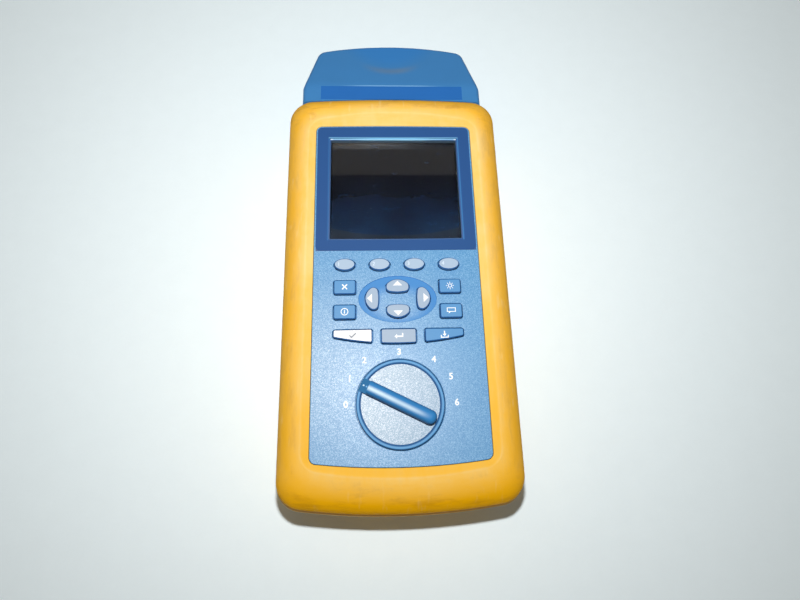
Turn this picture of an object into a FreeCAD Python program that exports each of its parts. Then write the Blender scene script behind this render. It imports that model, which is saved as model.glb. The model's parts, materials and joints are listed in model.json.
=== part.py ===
"""Handheld ethernet cable analyzer with a link adapter plugged into its far end.

The instrument lies on its back: +Z comes out of the front panel, +Y points to the adapter and
+X to the right of the panel. Lengths are millimetres and the feet stand on z = 0.
"""
import FreeCAD, Part
import math
import operator
import os
from types import SimpleNamespace

import Sketcher
from FreeCAD import Placement, Rotation, Vector

# Driving dimensions: alias, value and meaning
SIZES = [
    # Case
    ("body_width", 127.0, "width across the case"),
    ("body_length", 241.9, "length of the case without the adapter"),
    ("near_radius", 370.0, "bow of the near case end seen from the front"),
    ("far_radius", 800.0, "bow of the far case end seen from the front"),
    ("case_corner", 14.0, "corner radius of the case seen from the front"),
    ("case_wall", 3.5, "side wall of both case halves"),
    ("back_wall", 3.0, "thickness of the back"),
    ("back_round", 8.0, "rounding of the back edge"),
    ("foot_height", 2.0, "height of the back above the table"),
    ("parting_height", 50.0, "height of the joint between the case halves"),
    ("seam_bevel", 0.4, "bevel of the front half at the joint"),
    ("lip_rise", 0.8, "lip of the rear half beyond the sides and the far end"),
    ("lip_reach", 1.6, "lip of the rear half beyond the near end"),
    ("lip_height", 1.8, "height of that lip"),
    ("lip_round", 0.5, "rounding of that lip"),
    ("shoulder_height", 54.0, "height where the front edge starts to roll over"),
    ("panel_height", 66.0, "height of the front panel surface"),
    ("crest_rise", 1.0, "rise of the yellow crest above the panel"),
    ("side_roll", 13.35, "width of the rolled front edge at the sides"),
    ("bottom_roll", 18.0, "width of the rolled front edge at the near end"),
    ("top_roll", 11.7, "width of the rolled front edge at the adapter end"),
    ("crest_near_radius", 240.0, "bow of the crest line at the near end"),
    ("crest_far_radius", 500.0, "bow of the crest line at the far end"),
    ("crest_corner", 8.0, "corner radius of the crest line"),
    ("ledge_width", 3.0, "ledge that carries the front panel"),
    ("ledge_depth", 5.0, "thickness of the ledge"),
    ("seal_inset", 1.2, "distance of the seal groove from the outside"),
    ("seal_width", 1.2, "width of the seal groove"),
    ("seal_depth", 1.0, "depth of the seal groove"),
    # Case screws, bosses and feet
    ("boss_side_inset", 11.5, "case screws from the case sides"),
    ("boss_bottom_inset", 15.4, "near screws from the near end"),
    ("boss_middle_inset", 95.4, "middle screws from the near end"),
    ("boss_top_inset", 15.5, "far screws from the far end"),
    ("boss_radius", 4.5, "radius of the screw bosses"),
    ("screw_radius", 1.6, "shank radius of the case screws"),
    ("screw_clearance", 0.1, "gap round a screw shank"),
    ("screw_head_radius", 3.0, "head radius of the case screws"),
    ("screw_head_height", 2.2, "head height of the case screws"),
    ("screw_seat_depth", 6.0, "depth of the head seat from the back"),
    ("screw_reach", 6.0, "depth of the screw holes above the joint"),
    ("screw_end_gap", 1.0, "gap beyond a screw tip"),
    ("drive_width", 0.9, "slot width of the cross drive"),
    ("drive_depth", 1.1, "depth of the cross drive"),
    ("foot_radius", 6.0, "radius of the rubber feet"),
    ("foot_sink", 1.0, "depth of the feet in the back"),
    ("foot_side_inset", 15.5, "feet from the case sides"),
    ("foot_bottom_inset", 32.4, "near feet from the near end"),
    ("foot_top_inset", 35.5, "far feet from the far end"),
    # Front panel, overlay and display
    ("strip_width", 4.4, "inner slope between crest and panel at the sides"),
    ("panel_thickness", 3.0, "thickness of the front panel"),
    ("panel_bottom_inset", 22.8, "panel from the near end of the case"),
    ("panel_top_inset", 24.1, "panel from the far end of the case"),
    ("panel_bottom_radius", 353.0, "bow of the near panel edge"),
    ("panel_top_radius", 2000.0, "bow of the far panel edge"),
    ("panel_corner", 3.5, "corner radius of the panel"),
    ("panel_gap", 0.25, "gap between panel and case"),
    ("panel_round", 0.3, "rounding of the panel edges and of its openings"),
    ("overlay_thickness", 0.4, "thickness of the display overlay"),
    ("overlay_margin", 0.9, "panel left bare round the overlay"),
    ("overlay_row", 83.8, "near edge of the overlay from the dial centre"),
    ("screen_width", 75.8, "width of the overlay opening"),
    ("screen_length", 65.4, "length of the overlay opening"),
    ("screen_row", 122.8, "screen centre from the dial centre"),
    ("screen_lip", 0.8, "panel lip seen inside the overlay opening"),
    ("screen_corner", 1.5, "corner radius of the screen opening"),
    ("flat_radius", 3000.0, "bow of edges that look straight"),
    ("window_margin", 2.4, "window beyond the opening it covers"),
    ("window_thickness", 1.5, "thickness of the display window"),
    ("bracket_margin", 4.4, "display bracket beyond the opening"),
    ("bracket_sheet", 0.8, "sheet thickness of the display bracket"),
    ("bracket_gap", 0.2, "gap between window and bracket"),
    ("bracket_clear", 1.5, "gap between display bracket and case"),
    ("glass_thickness", 2.2, "thickness of the display glass"),
    ("backlight_thickness", 4.2, "thickness of the light guide"),
    ("display_gap", 0.15, "gap round the display glass"),
    # Keys
    ("key_gap", 0.5, "gap between a key and its hole"),
    ("key_travel", 1.0, "travel of a key"),
    ("key_rise", 1.6, "rise of a key above the panel"),
    ("key_round", 0.6, "rounding of the key tops"),
    ("key_flange", 1.0, "flange that keeps a key behind the panel"),
    ("flange_thickness", 1.6, "thickness of that flange"),
    ("flange_gap", 0.2, "gap between flange and panel"),
    ("softkey_row", 75.4, "oval keys from the dial centre"),
    ("softkey_pitch", 19.1, "spacing of the oval keys"),
    ("softkey_width", 12.3, "width of an oval key hole"),
    ("softkey_length", 7.8, "length of an oval key hole"),
    ("side_key_x", 28.55, "side offset of the rectangular keys"),
    ("side_key_upper_row", 62.4, "far rectangular keys from the dial centre"),
    ("side_key_lower_row", 48.5, "near rectangular keys from the dial centre"),
    ("side_key_width", 12.7, "width of a rectangular key hole"),
    ("side_key_length", 8.75, "length of a rectangular key hole"),
    ("side_key_corner", 1.6, "corner radius of a rectangular key hole"),
    ("dish_row", 55.8, "oval dish from the dial centre"),
    ("dish_width", 42.1, "width of the oval dish"),
    ("dish_length", 26.0, "length of the oval dish"),
    ("dish_depth", 0.6, "depth of the oval dish"),
    ("arrow_reach_x", 13.9, "left and right keys from the dish centre"),
    ("arrow_reach_y", 7.05, "up and down keys from the dish centre"),
    ("arrow_width", 13.5, "width of an arrow key hole along the dish edge"),
    ("arrow_length", 8.5, "depth of an arrow key hole"),
    ("arrow_corner", 2.9, "corner radius of an arrow key hole"),
    ("arrow_flat_radius", 8.4, "outer bow of the up and down keys"),
    ("arrow_round_radius", 7.6, "outer bow of the left and right keys"),
    ("arrow_inner_radius", 24.0, "inner bow of the arrow keys"),
    ("row_top", 39.4, "far edge of the near key row from the dial centre"),
    ("row_bottom", 30.6, "near edge of that row on the centre line"),
    ("row_radius", 165.0, "common bow of the near edges of that row"),
    ("row_outer_x", 35.0, "outer ends of the row"),
    ("row_inner_x", 13.5, "inner ends of the outer two keys"),
    ("enter_width", 19.5, "width of the middle key hole"),
    ("row_corner", 1.5, "corner radius of the row key holes"),
    # Dial and rotary switch
    ("dial_row", 30.9, "dial centre from the near panel edge"),
    ("dial_angle", 63.2, "turn of the pointer from +Y at rest, degrees"),
    ("dial_radius", 22.7, "radius of the knob"),
    ("dial_gap", 0.35, "gap between knob and recess"),
    ("dial_sink", 1.6, "depth of the recess round the knob"),
    ("dial_lift", 0.3, "gap under the knob"),
    ("dial_disc_rise", 0.3, "knob disc above the panel"),
    ("rim_width", 2.3, "width of the knob rim"),
    ("rim_rise", 1.1, "rise of the rim above the disc"),
    ("rim_round", 0.8, "rounding of the rim"),
    ("bar_width", 7.0, "width of the finger bar"),
    ("bar_rise", 8.6, "rise of the finger bar above the disc"),
    ("bar_tail", 19.4, "round end of the bar from the dial centre"),
    ("bar_nose", 18.0, "pointer end of the high bar from the dial centre"),
    ("bar_run", 4.0, "bar outline beyond its pointer end before that is cut square"),
    ("bar_round", 3.0, "rounding of the bar top"),
    ("bar_tail_radius", 4.0, "bow of the round end"),
    ("bar_corner", 3.2, "corner radius of the bar seen from the front"),
    ("step_rise", 2.6, "rise of the low pointer end above the disc"),
    ("step_reach", 22.2, "tip of the low pointer end from the dial centre"),
    ("step_round", 0.5, "rounding of the low pointer end"),
    ("face_thickness", 0.35, "thickness of the pale dial face"),
    ("face_gap", 0.25, "gap round the pale dial face"),
    ("shaft_radius", 3.0, "radius of the dial shaft"),
    ("shaft_gap", 0.05, "running gap round the shaft"),
    ("shaft_hole_gap", 1.2, "gap between shaft and panel"),
    ("shaft_sink", 5.0, "depth of the shaft in the knob"),
    ("switch_width", 30.0, "width of the rotary switch"),
    ("switch_roof", 5.6, "thickness over the rotor chamber"),
    ("switch_panel_gap", 0.4, "gap between switch and panel"),
    ("rotor_radius", 10.5, "radius of the switch rotor"),
    ("rotor_height", 4.0, "thickness of the switch rotor"),
    ("rotor_gap", 1.0, "gap round the rotor"),
    # Boards
    ("board_thickness", 1.6, "thickness of every circuit board"),
    ("measure_height", 14.0, "underside of the measuring board"),
    ("measure_side_gap", 4.0, "measuring board from the side walls"),
    ("measure_bottom_y", -43.0, "near edge of the measuring board"),
    ("measure_top_y", 75.0, "far edge of the measuring board"),
    ("tongue_gap", 3.5, "gap between its tongue and the case bosses"),
    ("measure_tongue_y", 90.0, "far edge of its tongue"),
    ("main_drop", 17.0, "underside of the main board below the panel"),
    ("main_side_gap", 14.0, "main board from the side walls"),
    ("main_bottom_y", -124.0, "near edge of the main board"),
    ("main_top_y", 76.0, "far edge of the main board"),
    ("post_x", 36.0, "side offset of the near board posts"),
    ("post_bottom_y", -36.0, "near board posts"),
    ("post_top_y", 60.0, "far board posts"),
    ("post_side_gap", 4.7, "far board posts from the sides of the display bracket"),
    ("post_radius", 3.0, "radius of the board posts"),
    ("board_screw_radius", 1.2, "shank radius of the board screws"),
    ("board_screw_head", 2.5, "head radius of the board screws"),
    ("board_screw_head_height", 1.7, "head height of the board screws"),
    ("board_screw_reach", 8.0, "length of a board screw below the board"),
    ("key_board_inset", 4.75, "key board from the panel sides"),
    ("key_board_bottom_row", 24.7, "near edge of the key board from the dial centre"),
    ("key_board_gap", 3.0, "gap between key board and display bracket"),
    ("key_board_drop", 5.8, "key board top below the panel underside"),
    ("key_post_radius", 2.0, "radius of the key board posts"),
    ("key_post_inset", 3.5, "key board posts from the board edges"),
    ("mat_thickness", 1.0, "thickness of the dome mat"),
    ("mat_inset", 1.0, "mat edge from the board edge"),
    ("dome_radius", 2.6, "radius of the rubber domes"),
    ("dome_gap", 0.2, "gap left under a pressed key"),
    # Battery
    ("battery_half_width", 35.0, "half width of the battery pack"),
    ("battery_length", 79.5, "length of the battery pack"),
    ("battery_height", 25.0, "height of the battery pack"),
    ("battery_inset", 11.4, "battery pack from the near end"),
    ("battery_gap", 1.0, "gap between pack and bay"),
    ("cover_thickness", 2.8, "thickness of the battery cover"),
    ("cover_gap", 0.3, "gap round the battery cover"),
    ("cover_margin", 0.7, "battery cover beyond the pack"),
    ("tray_wall", 1.8, "wall of the battery tray"),
    ("latch_width", 15.4, "width of the battery latch"),
    ("latch_length", 9.5, "length of the battery latch"),
    ("latch_thickness", 1.0, "thickness of the battery latch"),
    ("latch_travel", 3.0, "travel of the battery latch"),
    ("latch_gap", 0.3, "gap round the battery latch"),
    ("latch_inset", 3.5, "battery latch from the far cover edge"),
    # Link adapter
    ("adapter_reach", 48.0, "adapter beyond the case end"),
    ("adapter_gap", 1.2, "gap between adapter and case end"),
    ("adapter_half_width", 56.1, "half width of the adapter at its root"),
    ("adapter_shoulder", 10.0, "straight part of its sides beyond the case end"),
    ("adapter_end_half", 47.0, "half width of the adapter at its far end"),
    ("adapter_end_radius", 190.0, "bow of the far end"),
    ("adapter_corner", 7.0, "corner radius of the adapter"),
    ("adapter_bottom", 8.0, "underside of the adapter"),
    ("adapter_parting", 38.0, "joint of the adapter shells"),
    ("adapter_top", 58.0, "height of the flat part of the adapter top"),
    ("adapter_flat", 12.0, "flat part of the top beyond the case end"),
    ("adapter_drop", 6.0, "fall of the top to the far end"),
    ("adapter_round", 2.5, "rounding of the adapter edges"),
    ("adapter_crease", 30.0, "rounding between the flat and the falling part of the top"),
    ("adapter_wall", 2.5, "wall of the adapter shells"),
    ("adapter_roof", 4.0, "least roof over the adapter inside"),
    ("scoop_radius", 36.0, "plan radius of the thumb scoop"),
    ("scoop_start", 23.2, "near edge of the scoop beyond the case end"),
    ("scoop_ball", 180.0, "ball radius that hollows the scoop"),
    ("label_half_width", 44.6, "half width of the adapter label"),
    ("label_length", 9.6, "length of the adapter label"),
    ("label_start", 1.2, "adapter label beyond the case end"),
    ("label_thickness", 0.3, "thickness of the adapter label"),
    ("plug_half_width", 30.0, "half width of the adapter plug"),
    ("plug_bottom", 28.0, "underside of the plug"),
    ("plug_top", 44.0, "top of the plug"),
    ("plug_depth", 8.6, "plug inside the case end"),
    ("plug_body", 10.0, "plug body inside the adapter"),
    ("plug_gap", 0.6, "gap between plug and socket"),
    ("plug_window_gap", 1.5, "gap between plug and case wall"),
    ("socket_wall", 2.4, "wall of the case socket"),
    ("socket_length", 14.0, "length of the case socket"),
    ("socket_end_gap", 2.0, "socket from the inner end wall"),
    ("socket_depth", 9.0, "depth of the case socket"),
    ("jack_half_width", 8.0, "half width of the link jack"),
    ("jack_bottom", 26.5, "underside of the link jack"),
    ("jack_top", 37.5, "top of the link jack"),
    ("jack_length", 18.0, "length of the link jack"),
    ("jack_inset", 0.9, "jack face behind the adapter end"),
    ("jack_gap", 0.3, "gap between jack and shell"),
    ("port_width", 11.8, "width of the link port"),
    ("port_height", 6.7, "height of the link port"),
    ("port_depth", 13.0, "depth of the link port"),
    ("port_roof", 1.8, "jack above the link port"),
    ("notch_width", 6.2, "width of the latch notch"),
    ("notch_height", 1.8, "height of the latch notch"),
    ("contact_pitch", 1.02, "spacing of the contacts"),
    ("contact_width", 0.45, "width of a contact"),
    ("contact_height", 0.5, "height of a contact"),
    ("contact_length", 8.0, "length of a contact"),
    ("adapter_board_half", 34.0, "half width of the adapter board"),
    ("adapter_board_inset", 7.0, "adapter board from the far end"),
    ("adapter_board_length", 26.0, "length of the adapter board"),
    ("adapter_screw_x", 44.0, "side offset of the adapter screws"),
    ("adapter_screw_reach", 12.0, "adapter screws beyond the case end"),
    ("adapter_boss", 4.0, "radius of the adapter screw bosses"),
    ("adapter_seat_depth", 5.0, "depth of the adapter screw seats"),
    ("adapter_screw_bite", 6.0, "adapter screws above the joint"),
    # Release slide on the back
    ("release_half_width", 10.2, "half width of the release slide"),
    ("release_length", 17.0, "length of the release slide"),
    ("release_thickness", 1.1, "thickness of the release slide"),
    ("release_gap", 0.3, "gap round the release slide"),
    ("release_travel", 5.0, "travel of the release slide"),
    ("release_inset", 11.8, "release slide from the far end"),
    ("release_sink", 1.4, "depth of its recess"),
    ("stem_half_width", 2.9, "half width of the slide stem"),
    ("stem_length", 8.5, "length of the slide stem"),
    ("stem_inset", 3.2, "stem from the far end of the slide"),
    ("hook_half_width", 4.0, "half width of the release hook"),
    ("hook_thickness", 1.6, "thickness of the hook plate"),
    ("hook_lift", 0.2, "gap between hook plate and back"),
    ("hook_nose_bottom", 10.8, "underside of the hook nose"),
    ("hook_nose_top", 13.2, "top of the hook nose"),
    ("hook_nose_reach", 2.2, "hook nose beyond the case end"),
    ("hook_riser", 3.5, "length of the hook riser"),
    ("hook_riser_inset", 8.0, "hook riser from the case end"),
    ("hook_gap", 0.6, "gap round the hook nose"),
    # Connectors in the side walls
    ("serial_y", 10.0, "place of the serial connector"),
    ("serial_height", 22.0, "height of the serial connector"),
    ("serial_shell_width", 17.0, "width of its shell"),
    ("serial_shell_height", 8.6, "height of its shell"),
    ("serial_sheet", 0.6, "sheet of its shell"),
    ("serial_flange_width", 30.8, "width of its flange"),
    ("serial_flange_height", 12.4, "height of its flange"),
    ("serial_flange_thickness", 1.0, "thickness of its flange"),
    ("serial_window_margin", 0.6, "flange behind the wall window"),
    ("serial_body_depth", 11.0, "depth of its body"),
    ("serial_body_width", 18.0, "width of its body"),
    ("serial_nut_radius", 2.0, "radius of its nuts"),
    ("serial_nut_offset", 12.5, "nuts from its centre"),
    ("serial_pin_radius", 0.5, "radius of its pins"),
    ("serial_pin_pitch", 2.76, "spacing of its pins"),
    ("serial_pin_row", 1.42, "pin rows from its centre"),
    ("serial_pin_reach", 2.5, "pins beyond its flange"),
    ("port_inset", 0.3, "connector faces behind the case side"),
    ("wall_gap", 0.1, "gap between connectors and the inner wall"),
    ("power_y", -20.0, "place of the charger jack"),
    ("power_half_width", 5.0, "half width of the charger jack"),
    ("power_top", 26.6, "top of the charger jack"),
    ("power_depth", 13.0, "depth of the charger jack"),
    ("power_collar", 4.4, "radius of its collar"),
    ("power_bore", 2.95, "radius of its bore"),
    ("power_bore_depth", 11.0, "depth of its bore"),
    ("power_pin_radius", 1.05, "radius of its pin"),
    ("power_pin_inset", 1.2, "pin tip behind the collar face"),
    ("talk_y", -37.0, "place of the headset jack"),
    ("talk_half_width", 4.0, "half width of the headset jack"),
    ("talk_top", 23.6, "top of the headset jack"),
    ("talk_depth", 14.0, "depth of the headset jack"),
    ("talk_collar", 3.2, "radius of its collar"),
    ("talk_bore", 1.8, "radius of its bore"),
    ("talk_bore_depth", 14.0, "depth of its bore"),
    ("collar_gap", 0.3, "gap round the jack collars"),
    ("collar_root", 1.0, "collars inside their jack bodies"),
    ("card_y", 20.0, "place of the card slot"),
    ("card_half_width", 14.0, "half width of the card slot"),
    ("card_depth", 20.0, "depth of the card slot"),
    ("card_body_height", 4.6, "height of the card slot"),
    ("card_slot_half", 12.4, "half width of the slot itself"),
    ("card_slot_bottom", 1.0, "slot above the board"),
    ("card_slot_height", 2.6, "height of the slot"),
    ("card_floor", 4.0, "closed end of the card slot"),
    # Small inner pieces
    ("can_left", -22.0, "left side of the screening can"),
    ("can_right", 30.0, "right side of the screening can"),
    ("can_bottom_y", -18.0, "near side of the screening can"),
    ("can_top_y", 40.0, "far side of the screening can"),
    ("can_height", 8.0, "height of the screening can"),
    ("can_sheet", 0.5, "sheet of the screening can"),
    ("chip_height", 2.2, "height of the chips"),
    ("sounder_x", 30.0, "side offset of the sounder"),
    ("sounder_y", -105.0, "place of the sounder"),
    ("sounder_radius", 9.0, "radius of the sounder"),
    ("sounder_height", 5.0, "height of the sounder"),
]

# Chips on the main board: centre x, centre y, width, length
CHIPS = [
    (0.0, 22.0, 28.0, 28.0),
    (-22.0, -26.0, 14.0, 20.0),
    (21.0, -28.0, 18.0, 18.0),
    (-28.0, -100.0, 16.0, 12.0),
]

CONTACT_COUNT = 8
SERIAL_ROWS = ((5, 1.0), (4, -1.0))
ROLL_ANGLES = (0.0, 30.0, 60.0, 90.0)
DRIVE_SHARE = 0.6
THROUGH = 2.0
TOLERANCE = 1e-4
SYMBOLS = {"+": operator.add, "-": operator.sub, "*": operator.mul, "/": operator.truediv}


class Size:
    """A length that carries its number and the sheet expression it comes from."""

    def __init__(self, number, text):
        self.number = number
        self.text = text

    def __add__(self, other):
        return combine(self, "+", other)

    def __radd__(self, other):
        return combine(other, "+", self)

    def __sub__(self, other):
        return combine(self, "-", other)

    def __rsub__(self, other):
        return combine(other, "-", self)

    def __mul__(self, other):
        return combine(self, "*", other)

    def __rmul__(self, other):
        return combine(other, "*", self)

    def __truediv__(self, other):
        return combine(self, "/", other)

    def __neg__(self):
        return combine(0.0, "-", self)

    def root(self):
        return Size(math.sqrt(self.number), f"sqrt({self.text})")


def as_size(value):
    """Plain numbers become sizes with no sheet cell behind them."""
    if isinstance(value, Size):
        return value
    return Size(float(value), repr(float(value)))


def combine(first, symbol, second):
    """One arithmetic step, done on the number and on the expression alike."""
    first = as_size(first)
    second = as_size(second)
    number = SYMBOLS[symbol](first.number, second.number)
    return Size(number, f"({first.text} {symbol} {second.text})")


def bind(thing, prop, value):
    """Ties one property to its expression."""
    thing.setExpression(prop, as_size(value).text)


def make_sheet(document):
    """Fills the sheet of driving dimensions and returns them by alias."""
    sheet = document.addObject("Spreadsheet::Sheet", "Sizes")
    for row, (alias, number, meaning) in enumerate(SIZES, start=1):
        sheet.set(f"A{row}", meaning)
        sheet.set(f"B{row}", str(number))
        sheet.setAlias(f"B{row}", alias)
    document.recompute()
    table = SimpleNamespace()
    for alias, _, _ in SIZES:
        setattr(table, alias, Size(float(sheet.get(alias)), f"Sizes.{alias}"))
    return table


doc = FreeCAD.newDocument("cable_analyzer")
s = make_sheet(doc)
pieces = []


def keep(thing, label):
    """Gives a finished piece its name and puts it on the export list."""
    thing.Label = label
    pieces.append(thing)
    return thing


# Sketch outlines

def hold(sketch, kind, geometry, point, value):
    """Fixes the distance of a point from the sketch origin along one axis."""
    value = as_size(value)
    if value.text == "0.0":
        axis = -2 if kind == "DistanceX" else -1
        sketch.addConstraint(Sketcher.Constraint("PointOnObject", geometry, point, axis))
        return
    index = sketch.addConstraint(Sketcher.Constraint(kind, -1, 1, geometry, point, value.number))
    sketch.setExpression(f"Constraints[{index}]", value.text)


def hold_radius(sketch, geometry, value):
    """Fixes the radius of an arc or circle."""
    value = as_size(value)
    index = sketch.addConstraint(Sketcher.Constraint("Radius", geometry, value.number))
    sketch.setExpression(f"Constraints[{index}]", value.text)


def arc(centre, radius, start, end):
    return Part.ArcOfCircle(Part.Circle(centre, Vector(0, 0, 1), radius), start, end)


class Outline:
    """Closed outline with upright sides, bowed ends and rounded corners."""

    def __init__(self, left, right, top, bottom, top_radius, bottom_radius, corner, middle=0.0):
        self.left = as_size(left)
        self.right = as_size(right)
        self.top = as_size(top)
        self.bottom = as_size(bottom)
        self.top_radius = as_size(top_radius)
        self.bottom_radius = as_size(bottom_radius)
        self.corner = as_size(corner)
        self.middle = as_size(middle)

    def grown(self, by):
        """The same outline moved outwards by a distance."""
        return Outline(
            self.left - by, self.right + by, self.top + by, self.bottom - by,
            self.top_radius + by, self.bottom_radius + by, self.corner + by, self.middle)

    def corner_place(self, x, centre_y, radius, sign):
        """Centre of a corner arc and the direction of its joint with the end arc."""
        middle = self.middle.number
        reach = radius - self.corner.number
        y = centre_y + sign * math.sqrt(reach ** 2 - (x - middle) ** 2)
        angle = math.atan2(y - centre_y, x - middle) % (2 * math.pi)
        return Vector(x, y, 0), angle

    def draw(self, sketch):
        first = sketch.GeometryCount
        corner = self.corner.number
        left = self.left.number
        right = self.right.number
        top_y = self.top.number - self.top_radius.number
        bottom_y = self.bottom.number + self.bottom_radius.number
        far_right, a1 = self.corner_place(right - corner, top_y, self.top_radius.number, 1)
        far_left, a2 = self.corner_place(left + corner, top_y, self.top_radius.number, 1)
        near_left, a3 = self.corner_place(left + corner, bottom_y, self.bottom_radius.number, -1)
        near_right, a4 = self.corner_place(right - corner, bottom_y, self.bottom_radius.number, -1)
        top_centre = Vector(self.middle.number, top_y, 0)
        bottom_centre = Vector(self.middle.number, bottom_y, 0)
        geometry = [
            Part.LineSegment(Vector(right, near_right.y, 0), Vector(right, far_right.y, 0)),
            arc(far_right, corner, 0.0, a1),
            arc(top_centre, self.top_radius.number, a1, a2),
            arc(far_left, corner, a2, math.pi),
            Part.LineSegment(Vector(left, far_left.y, 0), Vector(left, near_left.y, 0)),
            arc(near_left, corner, math.pi, a3),
            arc(bottom_centre, self.bottom_radius.number, a3, a4),
            arc(near_right, corner, a4, 2 * math.pi),
        ]
        for curve in geometry:
            sketch.addGeometry(curve, False)
        count = len(geometry)
        for i in range(count):
            following = first + (i + 1) % count
            sketch.addConstraint(Sketcher.Constraint("Tangent", first + i, 2, following, 1))
        for i, x in ((0, self.right), (4, self.left)):
            sketch.addConstraint(Sketcher.Constraint("Vertical", first + i))
            hold(sketch, "DistanceX", first + i, 1, x)
        for i, y, radius in (
                (2, self.top - self.top_radius, self.top_radius),
                (6, self.bottom + self.bottom_radius, self.bottom_radius)):
            hold(sketch, "DistanceX", first + i, 3, self.middle)
            hold(sketch, "DistanceY", first + i, 3, y)
            hold_radius(sketch, first + i, radius)
        for i in (1, 3, 5, 7):
            hold_radius(sketch, first + i, self.corner)


class Oval:
    """Ellipse with its long axis along x."""

    def __init__(self, width, length):
        self.width = as_size(width)
        self.length = as_size(length)

    def grown(self, by):
        return Oval(self.width + 2 * as_size(by), self.length + 2 * as_size(by))

    def draw(self, sketch):
        first = sketch.GeometryCount
        half_width = self.width.number / 2
        half_length = self.length.number / 2
        sketch.addGeometry(Part.Ellipse(Vector(0, 0, 0), half_width, half_length), False)
        sketch.exposeInternalGeometry(first)
        sketch.addConstraint(Sketcher.Constraint("Coincident", first, 3, -1, 1))
        sketch.addConstraint(Sketcher.Constraint("Horizontal", first + 1))
        for axis, extent in ((first + 1, self.width), (first + 2, self.length)):
            index = sketch.addConstraint(Sketcher.Constraint("Distance", axis, extent.number))
            sketch.setExpression(f"Constraints[{index}]", extent.text)


class Circles:
    """Circles of one radius at several places."""

    def __init__(self, places, radius):
        self.places = places
        self.radius = radius

    def draw(self, sketch):
        for x, y in self.places:
            x = as_size(x)
            y = as_size(y)
            centre = Vector(x.number, y.number, 0)
            circle = Part.Circle(centre, Vector(0, 0, 1), as_size(self.radius).number)
            index = sketch.addGeometry(circle, False)
            hold(sketch, "DistanceX", index, 3, x)
            hold(sketch, "DistanceY", index, 3, y)
            hold_radius(sketch, index, self.radius)


class Body:
    """One moulded or turned piece, built from sketches and features."""

    def __init__(self, label):
        self.body = keep(doc.addObject("PartDesign::Body", label), label)
        self.steps = 0

    def name(self, kind):
        self.steps += 1
        return f"{self.body.Label}_{kind}_{self.steps}"

    def plane(self, role):
        return [o for o in self.body.Origin.OriginFeatures if o.Role == role][0]

    def sketch(self, shapes, z, x=0.0, y=0.0, turn=0.0):
        """Draws outlines in a level plane."""
        sketch = self.body.newObject("Sketcher::SketchObject", self.name("sketch"))
        sketch.AttachmentSupport = [(self.plane("XY_Plane"), "")]
        sketch.MapMode = "FlatFace"
        turn = as_size(turn)
        place = Vector(as_size(x).number, as_size(y).number, as_size(z).number)
        sketch.AttachmentOffset = Placement(place, Rotation(Vector(0, 0, 1), turn.number))
        bind(sketch, "AttachmentOffset.Base.x", x)
        bind(sketch, "AttachmentOffset.Base.y", y)
        bind(sketch, "AttachmentOffset.Base.z", z)
        if turn.number:
            bind(sketch, "AttachmentOffset.Rotation.Angle", turn)
        for shape in shapes:
            shape.draw(sketch)
        return sketch

    def change(self, feature, sign):
        """Recomputes and makes sure that a feature added or removed material."""
        before = self.volume()
        doc.recompute()
        if sign * (feature.Shape.Volume - before) < TOLERANCE:
            raise RuntimeError(f"{feature.Label} left the volume as it was")
        return feature

    def volume(self):
        shape = self.body.Shape
        return 0.0 if shape.isNull() else shape.Volume

    def pad(self, shapes, z, top, **place):
        """Raises outlines from one height to another."""
        sketch = self.sketch(shapes, z, **place)
        feature = self.body.newObject("PartDesign::Pad", self.name("pad"))
        feature.Profile = sketch
        bind(feature, "Length", as_size(top) - z)
        return self.change(feature, 1)

    def pocket(self, shapes, z, end=None, **place):
        """Cuts outlines from one height to another, or right through downwards."""
        sketch = self.sketch(shapes, z, **place)
        feature = self.body.newObject("PartDesign::Pocket", self.name("pocket"))
        feature.Profile = sketch
        if end is None:
            feature.Type = "ThroughAll"
        else:
            depth = as_size(z) - end
            upward = depth.number < 0
            feature.Reversed = upward
            bind(feature, "Length", as_size(end) - z if upward else depth)
        return self.change(feature, -1)

    def loft(self, kind, sections):
        """Skins level outlines, given as pairs of height and shape."""
        sketches = [self.sketch([shape], z) for z, shape in sections]
        feature = self.body.newObject(f"PartDesign::{kind}Loft", self.name("loft"))
        feature.Profile = sketches[0]
        feature.Sections = sketches[1:]
        return self.change(feature, 1 if kind == "Additive" else -1)

    def block(self, kind, left, right, near, far, bottom, top):
        """Adds or removes a box given by its six sides."""
        feature = self.body.newObject(f"PartDesign::{kind}Box", self.name("box"))
        fit_box(feature, left, right, near, far, bottom, top)
        return self.change(feature, 1 if kind == "Additive" else -1)

    def rod(self, kind, x, y, bottom, top, radius):
        """Adds or removes an upright cylinder."""
        feature = self.body.newObject(f"PartDesign::{kind}Cylinder", self.name("rod"))
        fit_rod(feature, x, y, bottom, top, radius)
        return self.change(feature, 1 if kind == "Additive" else -1)

    def side_rod(self, kind, left, right, y, z, radius):
        """Adds or removes a cylinder that lies along x."""
        feature = self.body.newObject(f"PartDesign::{kind}Cylinder", self.name("rod"))
        fit_side_rod(feature, left, right, y, z, radius)
        return self.change(feature, 1 if kind == "Additive" else -1)

    def picked(self, wanted):
        """The newest feature with the names of those of its edges that a test picks."""
        tip = self.body.Tip
        edges = enumerate(tip.Shape.Edges, start=1)
        return tip, [f"Edge{i}" for i, edge in edges if wanted(edge)]

    def round(self, radius, wanted):
        """Rounds every edge that a test picks."""
        base = self.picked(wanted)
        feature = self.body.newObject("PartDesign::Fillet", self.name("round"))
        feature.Base = base
        bind(feature, "Radius", radius)
        doc.recompute()
        return feature

    def bevel(self, size, wanted):
        """Cuts a bevel on every edge that a test picks."""
        base = self.picked(wanted)
        feature = self.body.newObject("PartDesign::Chamfer", self.name("bevel"))
        feature.Base = base
        bind(feature, "Size", size)
        doc.recompute()
        return feature


# Edge tests for rounding

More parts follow.
